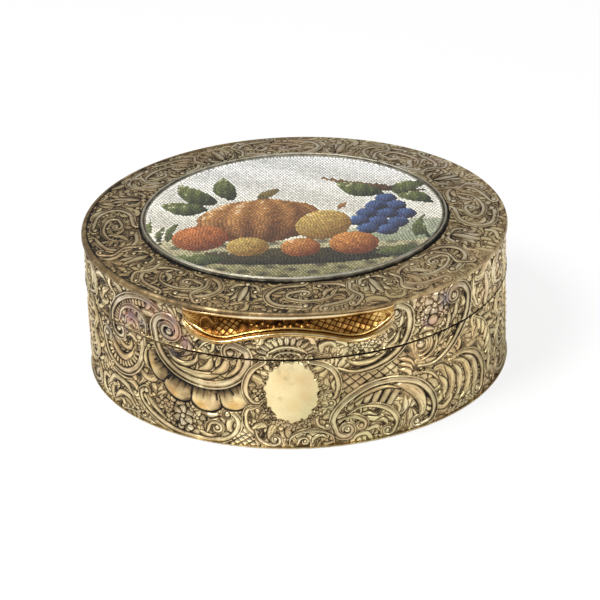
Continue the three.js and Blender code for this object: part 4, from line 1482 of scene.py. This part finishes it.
def place_tesserae(random, shapes):
    """Where each small piece of glass goes, and the shape that it belongs to."""
    crowd = Crowd()
    front = []
    for number, (outline, *_) in enumerate(shapes):
        points = contour_rows(outline, SPACING)
        clear = np.hypot(points[:, 0] / MOSAIC_OVAL[0], points[:, 1] / MOSAIC_OVAL[1]) < 0.985
        for other in front:
            clear &= ~inside_of(other, *points.T)
        for point in points[clear]:
            crowd.add(tuple(point), SPACING * 0.66, number)
        front.append(outline)
    rows = []
    for row, y in enumerate(np.arange(-MOSAIC_OVAL[1], MOSAIC_OVAL[1], SPACING * 0.92)):
        x = np.arange(-MOSAIC_OVAL[0], MOSAIC_OVAL[0], SPACING * 1.1) + (row % 2) * SPACING * 0.5
        rows.append(np.stack([x, y + 0.5 * np.sin(0.11 * x + 0.02 * row)], 1))
    points = np.vstack(rows)
    extra = random.uniform(-1, 1, (26000, 2)) * MOSAIC_OVAL
    for group, gap, anywhere in ((points, 0.66, False), (extra, 0.8, True)):
        clear = np.hypot(group[:, 0] / MOSAIC_OVAL[0], group[:, 1] / MOSAIC_OVAL[1]) < 0.987
        inside = np.full(len(group), -1)
        for number in range(len(shapes) - 1, -1, -1):
            inside[inside_of(shapes[number][0], *group.T)] = number
        for point, number, good in zip(group, inside, clear):
            if good and (anywhere or number < 0):
                crowd.add(tuple(point), SPACING * gap, int(number))
    return crowd


def linear(colour):
    """From the 0 to 255 of a screen to the light it stands for."""
    share = np.asarray(colour, float) / 255
    return np.where(share <= 0.04045, share / 12.92, ((share + 0.055) / 1.055) ** 2.4)


def glass_colour(point, shape, random):
    """A stone's colour, from 0 to 255: sky, grass, or one of the shapes, lit from the left and above."""
    x, y = point
    if shape is None:
        if y > -10.5 - 0.02 * x + 1.2 * math.sin(0.13 * x):
            height = clamp((y + 10) / 34)
            colour = np.array([230, 224, 204]) * (1 - height) + np.array([234, 234, 230]) * height
            return colour * (1 + 0.05 * math.sin(0.5 * y + 0.25 * x)) + random.normal(0, 10)
        depth = clamp((-10 - y) / 15)
        tuft = max(0.0, math.sin(0.9 * x + 0.6 * y) * math.sin(0.37 * x - 1.3 * y))
        colour = np.array([204, 194, 156]) * (1 - depth) + np.array([136, 130, 88]) * depth
        return colour * (1 - 0.55 * tuft) + random.normal(0, 10)
    outline, light, dark, ribs = shape
    centre = (outline.min(0) + outline.max(0)) / 2
    half = (outline.max(0) - outline.min(0)) / 2
    u, v = (x - centre[0]) / half[0], (y - centre[1]) / half[1]
    shade = 0.52 - 0.3 * u + 0.42 * v - 0.16 * (u * u + v * v)
    if ribs:
        shade += 0.17 * math.cos(ribs * math.pi * u / math.sqrt(max(0.15, 1.15 - v * v)))
    shade += random.normal(0, 0.07)
    if shade > 0.93:
        return np.array(light) * 0.6 + np.array([255, 246, 226]) * 0.4
    shade = min(1.0, max(0.0, shade))
    return (np.array(light) * shade + np.array(dark) * (1 - shade)) * (1 + random.normal(0, 0.06))


def make_tesserae(material):
    """Every piece of glass as its own small prism, and their colours."""
    random = np.random.default_rng(77)
    shapes = picture()
    crowd = place_tesserae(random, shapes)
    tree = KDTree(len(crowd.points))
    for number, (x, y) in enumerate(crowd.points):
        tree.insert((x, y, 0), number)
    tree.balance()
    reach = 1.9
    low_z = MOSAIC_TOP - STONE_HEIGHT
    points, sides, caps, shaded_side_colours, cap_colours = [], [], {}, [], {}
    edge = MOSAIC_OVAL[0] - PUTTY_LINE, MOSAIC_OVAL[1] - PUTTY_LINE
    for (x, y), region in zip(crowd.points, crowd.regions):
        cell = [(x - 1, y - 1), (x + 1, y - 1), (x + 1, y + 1), (x - 1, y + 1)]
        for (ox, oy, _), _, away in tree.find_range((x, y, 0), reach):
            if away > 1e-6:
                nx, ny = (ox - x) / away, (oy - y) / away
                cell = clip(cell, nx, ny, nx * x + ny * y + away / 2 - PUTTY_LINE)
        share = math.hypot(x / edge[0], y / edge[1])
        if share > 0.9:
            nx, ny = x / edge[0] ** 2, y / edge[1] ** 2
            size = math.hypot(nx, ny)
            cell = clip(cell, nx / size, ny / size, (nx * x + ny * y) / (size * share))
        if len(cell) < 3:
            continue
        lean = random.normal(0, 0.012, 2)
        drop = 0.03 + random.uniform(0, 0.03)
        first, count = len(points), len(cell)
        colour = linear(
            np.clip(glass_colour((x, y), shapes[region] if region >= 0 else None, random), 8, 250)
        )
        points += [(px, py, low_z) for px, py in cell]
        for px, py in cell:
            height = MOSAIC_TOP - drop + lean[0] * (px - x) + lean[1] * (py - y)
            points.append((px, py, min(height, MOSAIC_TOP)))
        top = [first + count + step for step in range(count)]
        bottom = [first + step for step in range(count)][::-1]
        caps.setdefault(count, []).extend([top, bottom])
        cap_colours.setdefault(count, []).extend([colour, colour])
        for step in range(count):
            after = (step + 1) % count
            sides.append((first + step, first + after, first + count + after, first + count + step))
            # Painted shade: the sides of each stone are made darker, as in the joints between stones.
            shaded_side_colours.append(colour * 0.75)
    faces = [np.array(caps[count]) for count in sorted(caps)] + [np.array(sides)]
    colours = [np.array(cap_colours[count]) for count in sorted(caps)] + [np.array(shaded_side_colours)]
    points = np.array(points)
    made = mesh_object("mosaic_stones", points, faces, "lid", ["mosaic_tesserae"], material)
    corner_colours = np.concatenate([np.repeat(c, f.shape[1], 0) for c, f in zip(colours, faces)])
    rgba = np.concatenate([corner_colours, np.ones((len(corner_colours), 1))], 1)
    layer = made.data.color_attributes.new("glass", "FLOAT_COLOR", "CORNER")
    layer.data.foreach_set("color", rgba.astype(np.float32).ravel())
    map_stones(made.data, points, faces)


def map_stones(mesh, points, faces):
    """The map of the stones: their tops as they lie, and every other face in a small cell of its own."""
    flat = []
    cell = 0
    across, down = 150, 330
    for group in faces:
        corners = points[group]
        uv = 0.5 + corners[:, :, :2] / (2.04 * np.array(MOSAIC_OVAL))
        uv[:, :, 0] = 0.7 * uv[:, :, 0]
        level = np.ptp(corners[:, :, 2], axis=1) < 0.2
        up = level & (corners[:, :, 2].mean(1) > MOSAIC_TOP - 0.2)
        rest = np.flatnonzero(~up)
        number = cell + np.arange(len(rest))
        cell += len(rest)
        turn = np.linspace(0, 2 * math.pi, group.shape[1], endpoint=False)
        u = 0.71 + 0.28 * (number[:, None] % across + 0.5 + 0.4 * np.cos(turn)) / across
        v = (number[:, None] // across + 0.5 + 0.4 * np.sin(turn)) / down
        uv[rest] = np.stack([u, v], -1)
        flat.append(uv.reshape(-1, 2))
    layer = mesh.uv_layers.new(name="OFBake")
    layer.data.foreach_set("uv", np.concatenate(flat).astype(np.float32).ravel())


# Materials


class Finish:
    """A material and short ways to add nodes to it."""

    def __init__(self, name):
        self.material = bpy.data.materials.new(name)
        self.material.use_nodes = True
        self.nodes = self.material.node_tree.nodes
        self.links = self.material.node_tree.links
        self.shader = self.nodes["Principled BSDF"]
        self.place = self.nodes.new("ShaderNodeTexCoord").outputs["Object"]

    def feed(self, socket, value):
        if isinstance(value, bpy.types.NodeSocket):
            self.links.new(value, socket)
        elif np.ndim(value) and len(value) == 3 and socket.type == "RGBA":
            socket.default_value = (*value, 1)
        else:
            socket.default_value = value

    def attribute(self, name, output="Fac"):
        node = self.nodes.new("ShaderNodeAttribute")
        node.attribute_name = name
        return node.outputs[output]

    def noise(self, scale, detail=3, stretch=None):
        node = self.nodes.new("ShaderNodeTexNoise")
        node.inputs["Scale"].default_value = scale
        node.inputs["Detail"].default_value = detail
        place = self.place
        if stretch:
            mapping = self.nodes.new("ShaderNodeMapping")
            mapping.inputs["Scale"].default_value = stretch
            self.links.new(place, mapping.inputs["Vector"])
            place = mapping.outputs["Vector"]
        self.links.new(place, node.inputs["Vector"])
        return node.outputs["Fac"]

    def sum(self, operation, a, b=0.0):
        node = self.nodes.new("ShaderNodeMath")
        node.operation = operation
        self.feed(node.inputs[0], a)
        self.feed(node.inputs[1], b)
        return node.outputs[0]

    def span(self, value, low, high, to_low=0.0, to_high=1.0):
        node = self.nodes.new("ShaderNodeMapRange")
        for socket, number in zip(("From Min", "From Max", "To Min", "To Max"), (low, high, to_low, to_high)):
            node.inputs[socket].default_value = number
        self.links.new(value, node.inputs["Value"])
        return node.outputs["Result"]

    def mix(self, share, a, b):
        node = self.nodes.new("ShaderNodeMix")
        node.data_type = "RGBA"
        self.feed(node.inputs["Factor"], share)
        self.feed(node.inputs[6], a)
        self.feed(node.inputs[7], b)
        return node.outputs[2]

    def bump(self, height, distance, strength):
        node = self.nodes.new("ShaderNodeBump")
        node.inputs["Distance"].default_value = distance
        node.inputs["Strength"].default_value = strength
        self.links.new(height, node.inputs["Height"])
        self.links.new(node.outputs["Normal"], self.shader.inputs["Normal"])

    def set(self, **values):
        for key, value in values.items():
            self.feed(self.shader.inputs[key.replace("_", " ")], value)


def tarnished(name, pale, warm, ochre, middle, dark, gloss=0.24):
    """Chased gilding: bright where it is rubbed and where highlights are painted, brown in the hollows and
    where shade is painted, with faint rose and blue stains.
    """
    finish = Finish(name)
    fine = finish.noise(900, 3)
    tone = finish.sum(
        "ADD", finish.attribute("tone"), finish.span(finish.noise(110, 4), 0.3, 0.7, -0.1, 0.14)
    )
    tone = finish.sum("ADD", tone, finish.span(finish.noise(420, 5), 0.32, 0.68, -0.12, 0.16))
    tone = finish.sum("ADD", tone, finish.span(fine, 0.3, 0.7, -0.06, 0.06))
    warmth = finish.attribute("warm")
    clean = finish.mix(finish.span(warmth, 0, 1), linear(pale), linear(warm))
    clean = finish.mix(finish.span(warmth, 1, 2), clean, linear(ochre))
    clean = finish.mix(finish.span(finish.noise(60, 2), 0.35, 0.65, 0.0, 0.35), clean, linear(middle))
    for scale, stain in ((75, (158, 164, 116)), (130, (206, 158, 120))):
        clean = finish.mix(finish.span(finish.noise(scale, 3), 0.46, 0.66, 0, 0.4), clean, linear(stain))
    first = finish.mix(finish.span(tone, 0.1, 0.6), clean, linear(middle))
    bloom = finish.attribute("bloom")
    for scale, stain, share in ((190, (186, 112, 98), 0.55), (260, (108, 118, 150), 0.42)):
        patch = finish.sum("MULTIPLY", finish.span(finish.noise(scale, 3), 0.46, 0.6, 0, share), bloom)
        first = finish.mix(patch, first, linear(stain))
    colour = finish.mix(finish.span(tone, 0.5, 0.95), first, linear(dark))
    finish.set(Base_Color=colour, Metallic=finish.span(tone, 0.3, 1.0, 1.0, 0.55))
    finish.set(Roughness=finish.span(tone, 0.0, 1.0, gloss, 0.7))
    finish.bump(fine, 0.00003, 0.4)
    return finish.material


def burnished(name, light, deep, gloss):
    """Smooth metal with a soft mottle and fine rubbing marks."""
    finish = Finish(name)
    cloud = finish.noise(90, 4)
    marks = finish.noise(500, 3, (1, 9, 3))
    colour = finish.mix(finish.span(cloud, 0.3, 0.75), linear(light), linear(deep))
    rough = finish.sum(
        "ADD", finish.span(marks, 0.35, 0.7, gloss, gloss + 0.14), finish.span(cloud, 0.3, 0.7, 0, 0.08)
    )
    finish.set(Base_Color=colour, Roughness=rough, Metallic=1.0)
    finish.bump(marks, 0.00002, 0.25)
    return finish.material


def amber():
    """The thumbpiece's deep gilding, paler where the thumb has rubbed it and where highlights are painted on
    the lip and fillet.
    """
    finish = Finish("amber_gilding")
    cloud = finish.noise(140, 4)
    tone = finish.sum("ADD", finish.attribute("tone"), finish.span(cloud, 0.3, 0.7, -0.1, 0.15))
    tone = finish.sum("ADD", tone, finish.span(finish.noise(700, 4), 0.35, 0.65, -0.1, 0.14))
    clean = finish.mix(finish.span(cloud, 0.35, 0.65), linear((216, 180, 106)), linear((176, 138, 76)))
    clean = finish.mix(finish.span(tone, -0.4, 0.05), linear((226, 214, 184)), clean)
    first = finish.mix(finish.span(tone, 0.05, 0.5), clean, linear((122, 78, 32)))
    colour = finish.mix(finish.span(tone, 0.5, 0.95), first, linear((26, 13, 6)))
    finish.set(Base_Color=colour, Metallic=1.0, Roughness=finish.span(tone, 0, 1, 0.24, 0.55))
    return finish.material


def enamel():
    """Opaque glass in the colour of each stone, ground flat but not polished."""
    finish = Finish("mosaic_enamel")
    grain = finish.noise(2600, 2)
    glass = finish.attribute("glass", "Color")
    colour = finish.mix(finish.span(grain, 0.35, 0.7, 0.0, 0.16), glass, linear((120, 112, 100)))
    finish.set(Base_Color=colour, Roughness=finish.span(grain, 0.3, 0.7, 0.42, 0.6))
    return finish.material


def putty(name, light, deep):
    """Dry putty with a fine grain."""
    finish = Finish(name)
    grain = finish.noise(1800, 4)
    colour = finish.mix(finish.span(grain, 0.3, 0.7), linear(light), linear(deep))
    finish.set(Base_Color=colour, Roughness=0.9)
    finish.bump(grain, 0.00003, 0.5)
    return finish.material


# The pieces

gilt = tarnished(
    "chased_gilding",
    pale=(226, 219, 200), warm=(250, 233, 182), ochre=(226, 182, 106),
    middle=(146, 122, 84), dark=(19, 13, 9),
)
bright = burnished("bright_gilding", (236, 200, 124), (206, 164, 88), 0.2)
plain = burnished("plain_gilding", (206, 176, 112), (160, 128, 70), 0.3)
silver = tarnished(
    "frame_silvering",
    pale=(214, 210, 198), warm=(214, 208, 188), ochre=(214, 208, 188),
    middle=(138, 132, 114), dark=(30, 26, 20), gloss=0.4,
)
steel = burnished("pin_steel", (150, 148, 142), (110, 108, 104), 0.35)
copper = burnished("tray_copper", (150, 98, 66), (98, 64, 46), 0.45)
cement = putty("mosaic_putty", (112, 106, 92), (72, 66, 56))

# The height where the wall's chasing starts, the spacing of the mesh on the wall and on the top, and how
# far left of the front's middle the pieces divide
FOOT = 0.5
WALL_MESH = 0.14
TOP_MESH = 0.15
SPLIT = 27.0

wall_sheet = chase_wall()
top_sheet = chase_top()
for number in range(4):
    start = -HALF + number * HALF / 2 - SPLIT
    chased_wall(
        f"chased_base_{number + 1}", wall_sheet, start, start + HALF / 2, FOOT, BASE_HIGH[2], (BASE_HIGH[2],),
        "base", ["base_wall"], gilt, WALL_MESH,
    )
for number, side in enumerate(("left", "right")):
    start = -HALF + number * HALF - SPLIT
    chased_wall(
        f"chased_lid_{side}", wall_sheet, start, start + HALF, LID_LOW[2], LID_HIGH[2], (LID_LOW[2],),
        "lid", ["lid_wall"], gilt, WALL_MESH,
    )
    chased_top(f"chased_top_{side}", top_sheet, start, start + HALF, gilt, TOP_MESH)
make_thumbpiece(amber())


def inset_levels(profile, oval=OVAL):
    """The levels of an oval shell, from (distance in from an oval, height)."""
    return [(oval[0] - inset, oval[1] - inset, z) for inset, z in profile]


# The base plate: its top, and how far its middle stands off the table
FLOOR_TOP = 1.0
HOLLOW = 0.05
floor_plate = oval_shell(
    "base_floor",
    [
        *inset_levels([(WALL + 2, HOLLOW), (WALL + 1, 0), (0.5, 0), (0.3, 0.05), (0.12, 0.18), (0.03, 0.34)]),
        *inset_levels([
            (0, FOOT), (0.6, FOOT), (WALL, FOOT + 0.05), (WALL + 0.05, FLOOR_TOP), (6, FLOOR_TOP),
            (20, FLOOR_TOP),
        ]),
        (0, 0, FLOOR_TOP), (0, 0, HOLLOW), *inset_levels([(20, HOLLOW), (6, HOLLOW)]),
    ],
    "base", ["base_plate"], gilt, soft=(2, 3, 4, 5),
)
heights = np.array([vertex.co.z for vertex in floor_plate.data.vertices]) / MM
add_field(floor_plate.data, "tone", np.interp(heights, (0.0, 0.3, 1.0), (0.26, 0.32, 0.2)))
add_field(floor_plate.data, "warm", np.interp(heights, (0.5, 1.0), (0.7, 1.2)))
LINING, LINING_SHEET, RIM_TOP = 1.15, 0.6, 23.05
edge = [(0, 0.2), (0.06, 0.06), (0.2, 0), (0.4, 0), (0.54, 0.06), (LINING_SHEET, 0.2)]
rim = [
    (LINING, FLOOR_TOP), *((LINING + into, RIM_TOP - down) for into, down in edge),
    (LINING + LINING_SHEET, FLOOR_TOP),
]
oval_shell("base_rim", inset_levels(rim), "base", ["base_lining"], bright)
PLATE_LOW, PLATE_HIGH = 30.75, 31.45
oval_shell(
    "lid_lining_plate",
    [
        (0, 0, PLATE_LOW), *inset_levels([(20, PLATE_LOW), (6, PLATE_LOW), (1.25, PLATE_LOW)]),
        *inset_levels([(1.1, PLATE_LOW + 0.12), (1.1, PLATE_HIGH), (6, PLATE_HIGH)]), (0, 0, PLATE_HIGH),
    ],
    "lid", ["lid_inner_plate"], bright, soft=(3, 4),
)
seat = FRAME_LOW[2]
bead = [(0.42 - 0.24 * math.cos(a), seat + 0.3 + 0.4 * math.sin(a)) for a in np.linspace(0, math.pi, 11)]
hollow = [(0.68 + 0.4 * s, seat + 0.3 + 0.12 * s - 0.1 * math.sin(math.pi * s)) for s in np.linspace(0, 1, 6)]
moulding = [
    (0, seat), (0, seat + 0.1), (0.16, seat + 0.12), *bead, *hollow, (1.14, seat + 0.46), (1.2, seat + 0.4),
    (1.2, seat),
]
frame_ring = oval_shell(
    "mosaic_moulding", inset_levels(moulding, FRAME_OVAL),
    "lid", ["mosaic_frame"], silver,
)
# Painted light on the frame: a pale highlight on the bead's crest and at the inner edge, and painted shade at
# the outer foot and in the hollow.
bead_light_and_shade = [0.28 + 0.35 * abs(math.cos(a)) ** 4 for a in np.linspace(0, math.pi, 11)]
frame_light_and_shade = [0.9, 0.9, 0.8, *bead_light_and_shade, 0.75, 0.85, 0.85, 0.75, 0.6, 0.3, 0.1, 0.5, 0.9]
add_field(frame_ring.data, "tone", np.tile(frame_light_and_shade, len(frame_ring.data.vertices) // len(frame_light_and_shade)))
BED_OVAL, BED_LOW, BED_HIGH = (31.25, 26.45), 32.05, MOSAIC_TOP - 0.1
oval_shell(
    "mosaic_grout",
    [
        *inset_levels([(0, BED_LOW), (0, BED_HIGH), (8, BED_HIGH)], BED_OVAL),
        (0, 0, BED_HIGH), (0, 0, BED_LOW), *inset_levels([(8, BED_LOW)], BED_OVAL),
    ],
    "lid", ["mosaic_bed"], cement, soft=(),
)
make_tesserae(enamel())

# The hinge
half = (KNUCKLE_HIGH[0] - KNUCKLE_LOW[0]) / 2
bore, ease = 0.65, 0.12
for body, count in (("base", 5), ("lid", 4)):
    for number in range(count):
        node = f"{body}_knuckle_{number + 1}"
        low, high = node_box(node)
        radius = (high[2] - low[2]) / 2
        profile = [
            (-half, bore), (-half, radius - ease), (-half + 0.04, radius - 0.04), (-half + ease, radius)
        ]
        profile += [(-x, r) for x, r in profile[::-1]]
        name = node.replace("knuckle", "hinge_tube")
        lathe(name, profile, (low + high) / 2, body, [node], plain)
for node in ("hinge_plug_left", "hinge_plug_right"):
    low, high = node_box(node)
    length, radius = (high[0] - low[0]) / 2, (high[2] - low[2]) / 2
    profile = [(-length, 0), (-length, 0.35), (-length + 0.1, radius)]
    profile += [(-x, r) for x, r in profile[::-1]]
    weld(lathe(node.replace("plug", "stud"), profile, (low + high) / 2, "base", [node], plain))

carried_nodes = {
    "hinge_pin": steel, "mosaic_tray": copper, "base_hinge_bearer": plain, "lid_hinge_bearer": plain
}
for node, material in carried_nodes.items():
    carried = next(o for o in bpy.data.objects if o.type == "MESH" and o.name.split(".")[0] == node)
    carried.data.materials.clear()
    carried.data.materials.append(material)

# The floor, the light and the camera


def floor_material():
    """A white floor that takes shadows. The camera sees it most of the way to plain white."""
    finish = Finish("floor")
    kinds = ("LightPath", "Emission", "MixShader")
    path, glow, both = (finish.nodes.new("ShaderNode" + kind) for kind in kinds)
    glow.inputs["Color"].default_value = (1, 1, 1, 1)
    share = finish.sum("MULTIPLY", path.outputs["Is Camera Ray"], 0.8)
    cloud = finish.noise(3, 2)
    colour = finish.mix(finish.span(cloud, 0.3, 0.7), linear((240, 240, 240)), linear((246, 246, 246)))
    finish.set(Base_Color=colour, Roughness=0.9)
    finish.links.new(share, both.inputs[0])
    finish.links.new(finish.shader.outputs[0], both.inputs[1])
    finish.links.new(glow.outputs[0], both.inputs[2])
    finish.links.new(both.outputs[0], finish.nodes["Material Output"].inputs["Surface"])
    return finish.material


floor_mesh = bpy.data.meshes.new("floor")
reach = 3.0
corners = [(-reach, -reach, 0), (reach, -reach, 0), (reach, reach, 0), (-reach, reach, 0)]
floor_mesh.from_pydata(corners, [], [(0, 1, 2, 3)])
floor = bpy.data.objects.new("floor", floor_mesh)
bpy.context.scene.collection.objects.link(floor)
floor_mesh.materials.append(floor_material())


def make_world():
    """Soft light, brighter from above and behind, and plain white behind the object for the camera."""
    world = bpy.data.worlds.new("studio")
    bpy.context.scene.world = world
    world.use_nodes = True
    nodes, links = world.node_tree.nodes, world.node_tree.links
    kinds = (
        "LightPath", "TexCoord", "SeparateXYZ", "MapRange", "Math", "Background", "Background", "MixShader"
    )
    path, place, split, height, lean, soft, white, both = (nodes.new("ShaderNode" + kind) for kind in kinds)
    links.new(place.outputs["Generated"], split.inputs[0])
    for socket, number in (("From Min", -0.75), ("From Max", 0.95), ("To Min", 0.05), ("To Max", 0.6)):
        height.inputs[socket].default_value = number
    lean.operation = "MULTIPLY_ADD"
    lean.inputs[1].default_value = 0.55
    links.new(split.outputs["Y"], lean.inputs[0])
    links.new(split.outputs["Z"], lean.inputs[2])
    links.new(lean.outputs[0], height.inputs["Value"])
    links.new(height.outputs["Result"], soft.inputs["Strength"])
    links.new(path.outputs["Is Camera Ray"], both.inputs[0])
    links.new(soft.outputs[0], both.inputs[1])
    links.new(white.outputs[0], both.inputs[2])
    for light in (soft, white):
        light.inputs["Color"].default_value = (1, 1, 1, 1)
    links.new(both.outputs[0], nodes["World Output"].inputs["Surface"])


def add_lamp(name, place, size, power):
    """A round lamp that points at the box."""
    lamp = bpy.data.lights.new(name, "AREA")
    lamp.shape = "DISK"
    lamp.size = size
    lamp.energy = power
    made = bpy.data.objects.new(name, lamp)
    bpy.context.scene.collection.objects.link(made)
    made.location = place
    made.rotation_euler = (Vector((0, 0, 0.02)) - Vector(place)).to_track_quat("-Z", "Y").to_euler()


make_world()
add_lamp("key", (-0.3, -0.25, 0.6), size=0.26, power=4.4)
add_lamp("fill", (0.5, -0.45, 0.35), size=0.25, power=1.5)


def make_camera():
    """A long lens from above the front, turned a little, with the aim at the picture's middle."""
    slope, yaw, roll = 0.55, 0.0232, 0.0374
    distance = 14 * OVAL[0] * MM
    pixels, focal, off_x, off_y = 600, 2906.85, 1.03, 51.18
    turn = Matrix.Rotation(yaw, 3, "Z")
    ahead = turn @ Vector((0, math.cos(slope), -math.sin(slope)))
    side = turn @ Vector((1, 0, 0))
    top = side.cross(ahead)
    right = side * math.cos(roll) - top * math.sin(roll)
    up = side * math.sin(roll) + top * math.cos(roll)
    aim = (ahead + (right * off_x + up * off_y) / focal).normalized()
    right = (right - aim * right.dot(aim)).normalized()
    up = right.cross(aim)
    lens = bpy.data.cameras.new("camera")
    lens.lens = lens.sensor_width * focal / pixels
    lens.clip_start = 0.01
    lens.clip_end = 10
    camera = bpy.data.objects.new("camera", lens)
    bpy.context.scene.collection.objects.link(camera)
    axes = Matrix((right, up, -aim)).transposed()
    camera.matrix_world = Matrix.Translation(-ahead * distance) @ axes.to_4x4()
    bpy.context.scene.camera = camera


make_camera()
bpy.context.scene.view_settings.view_transform = "Standard"
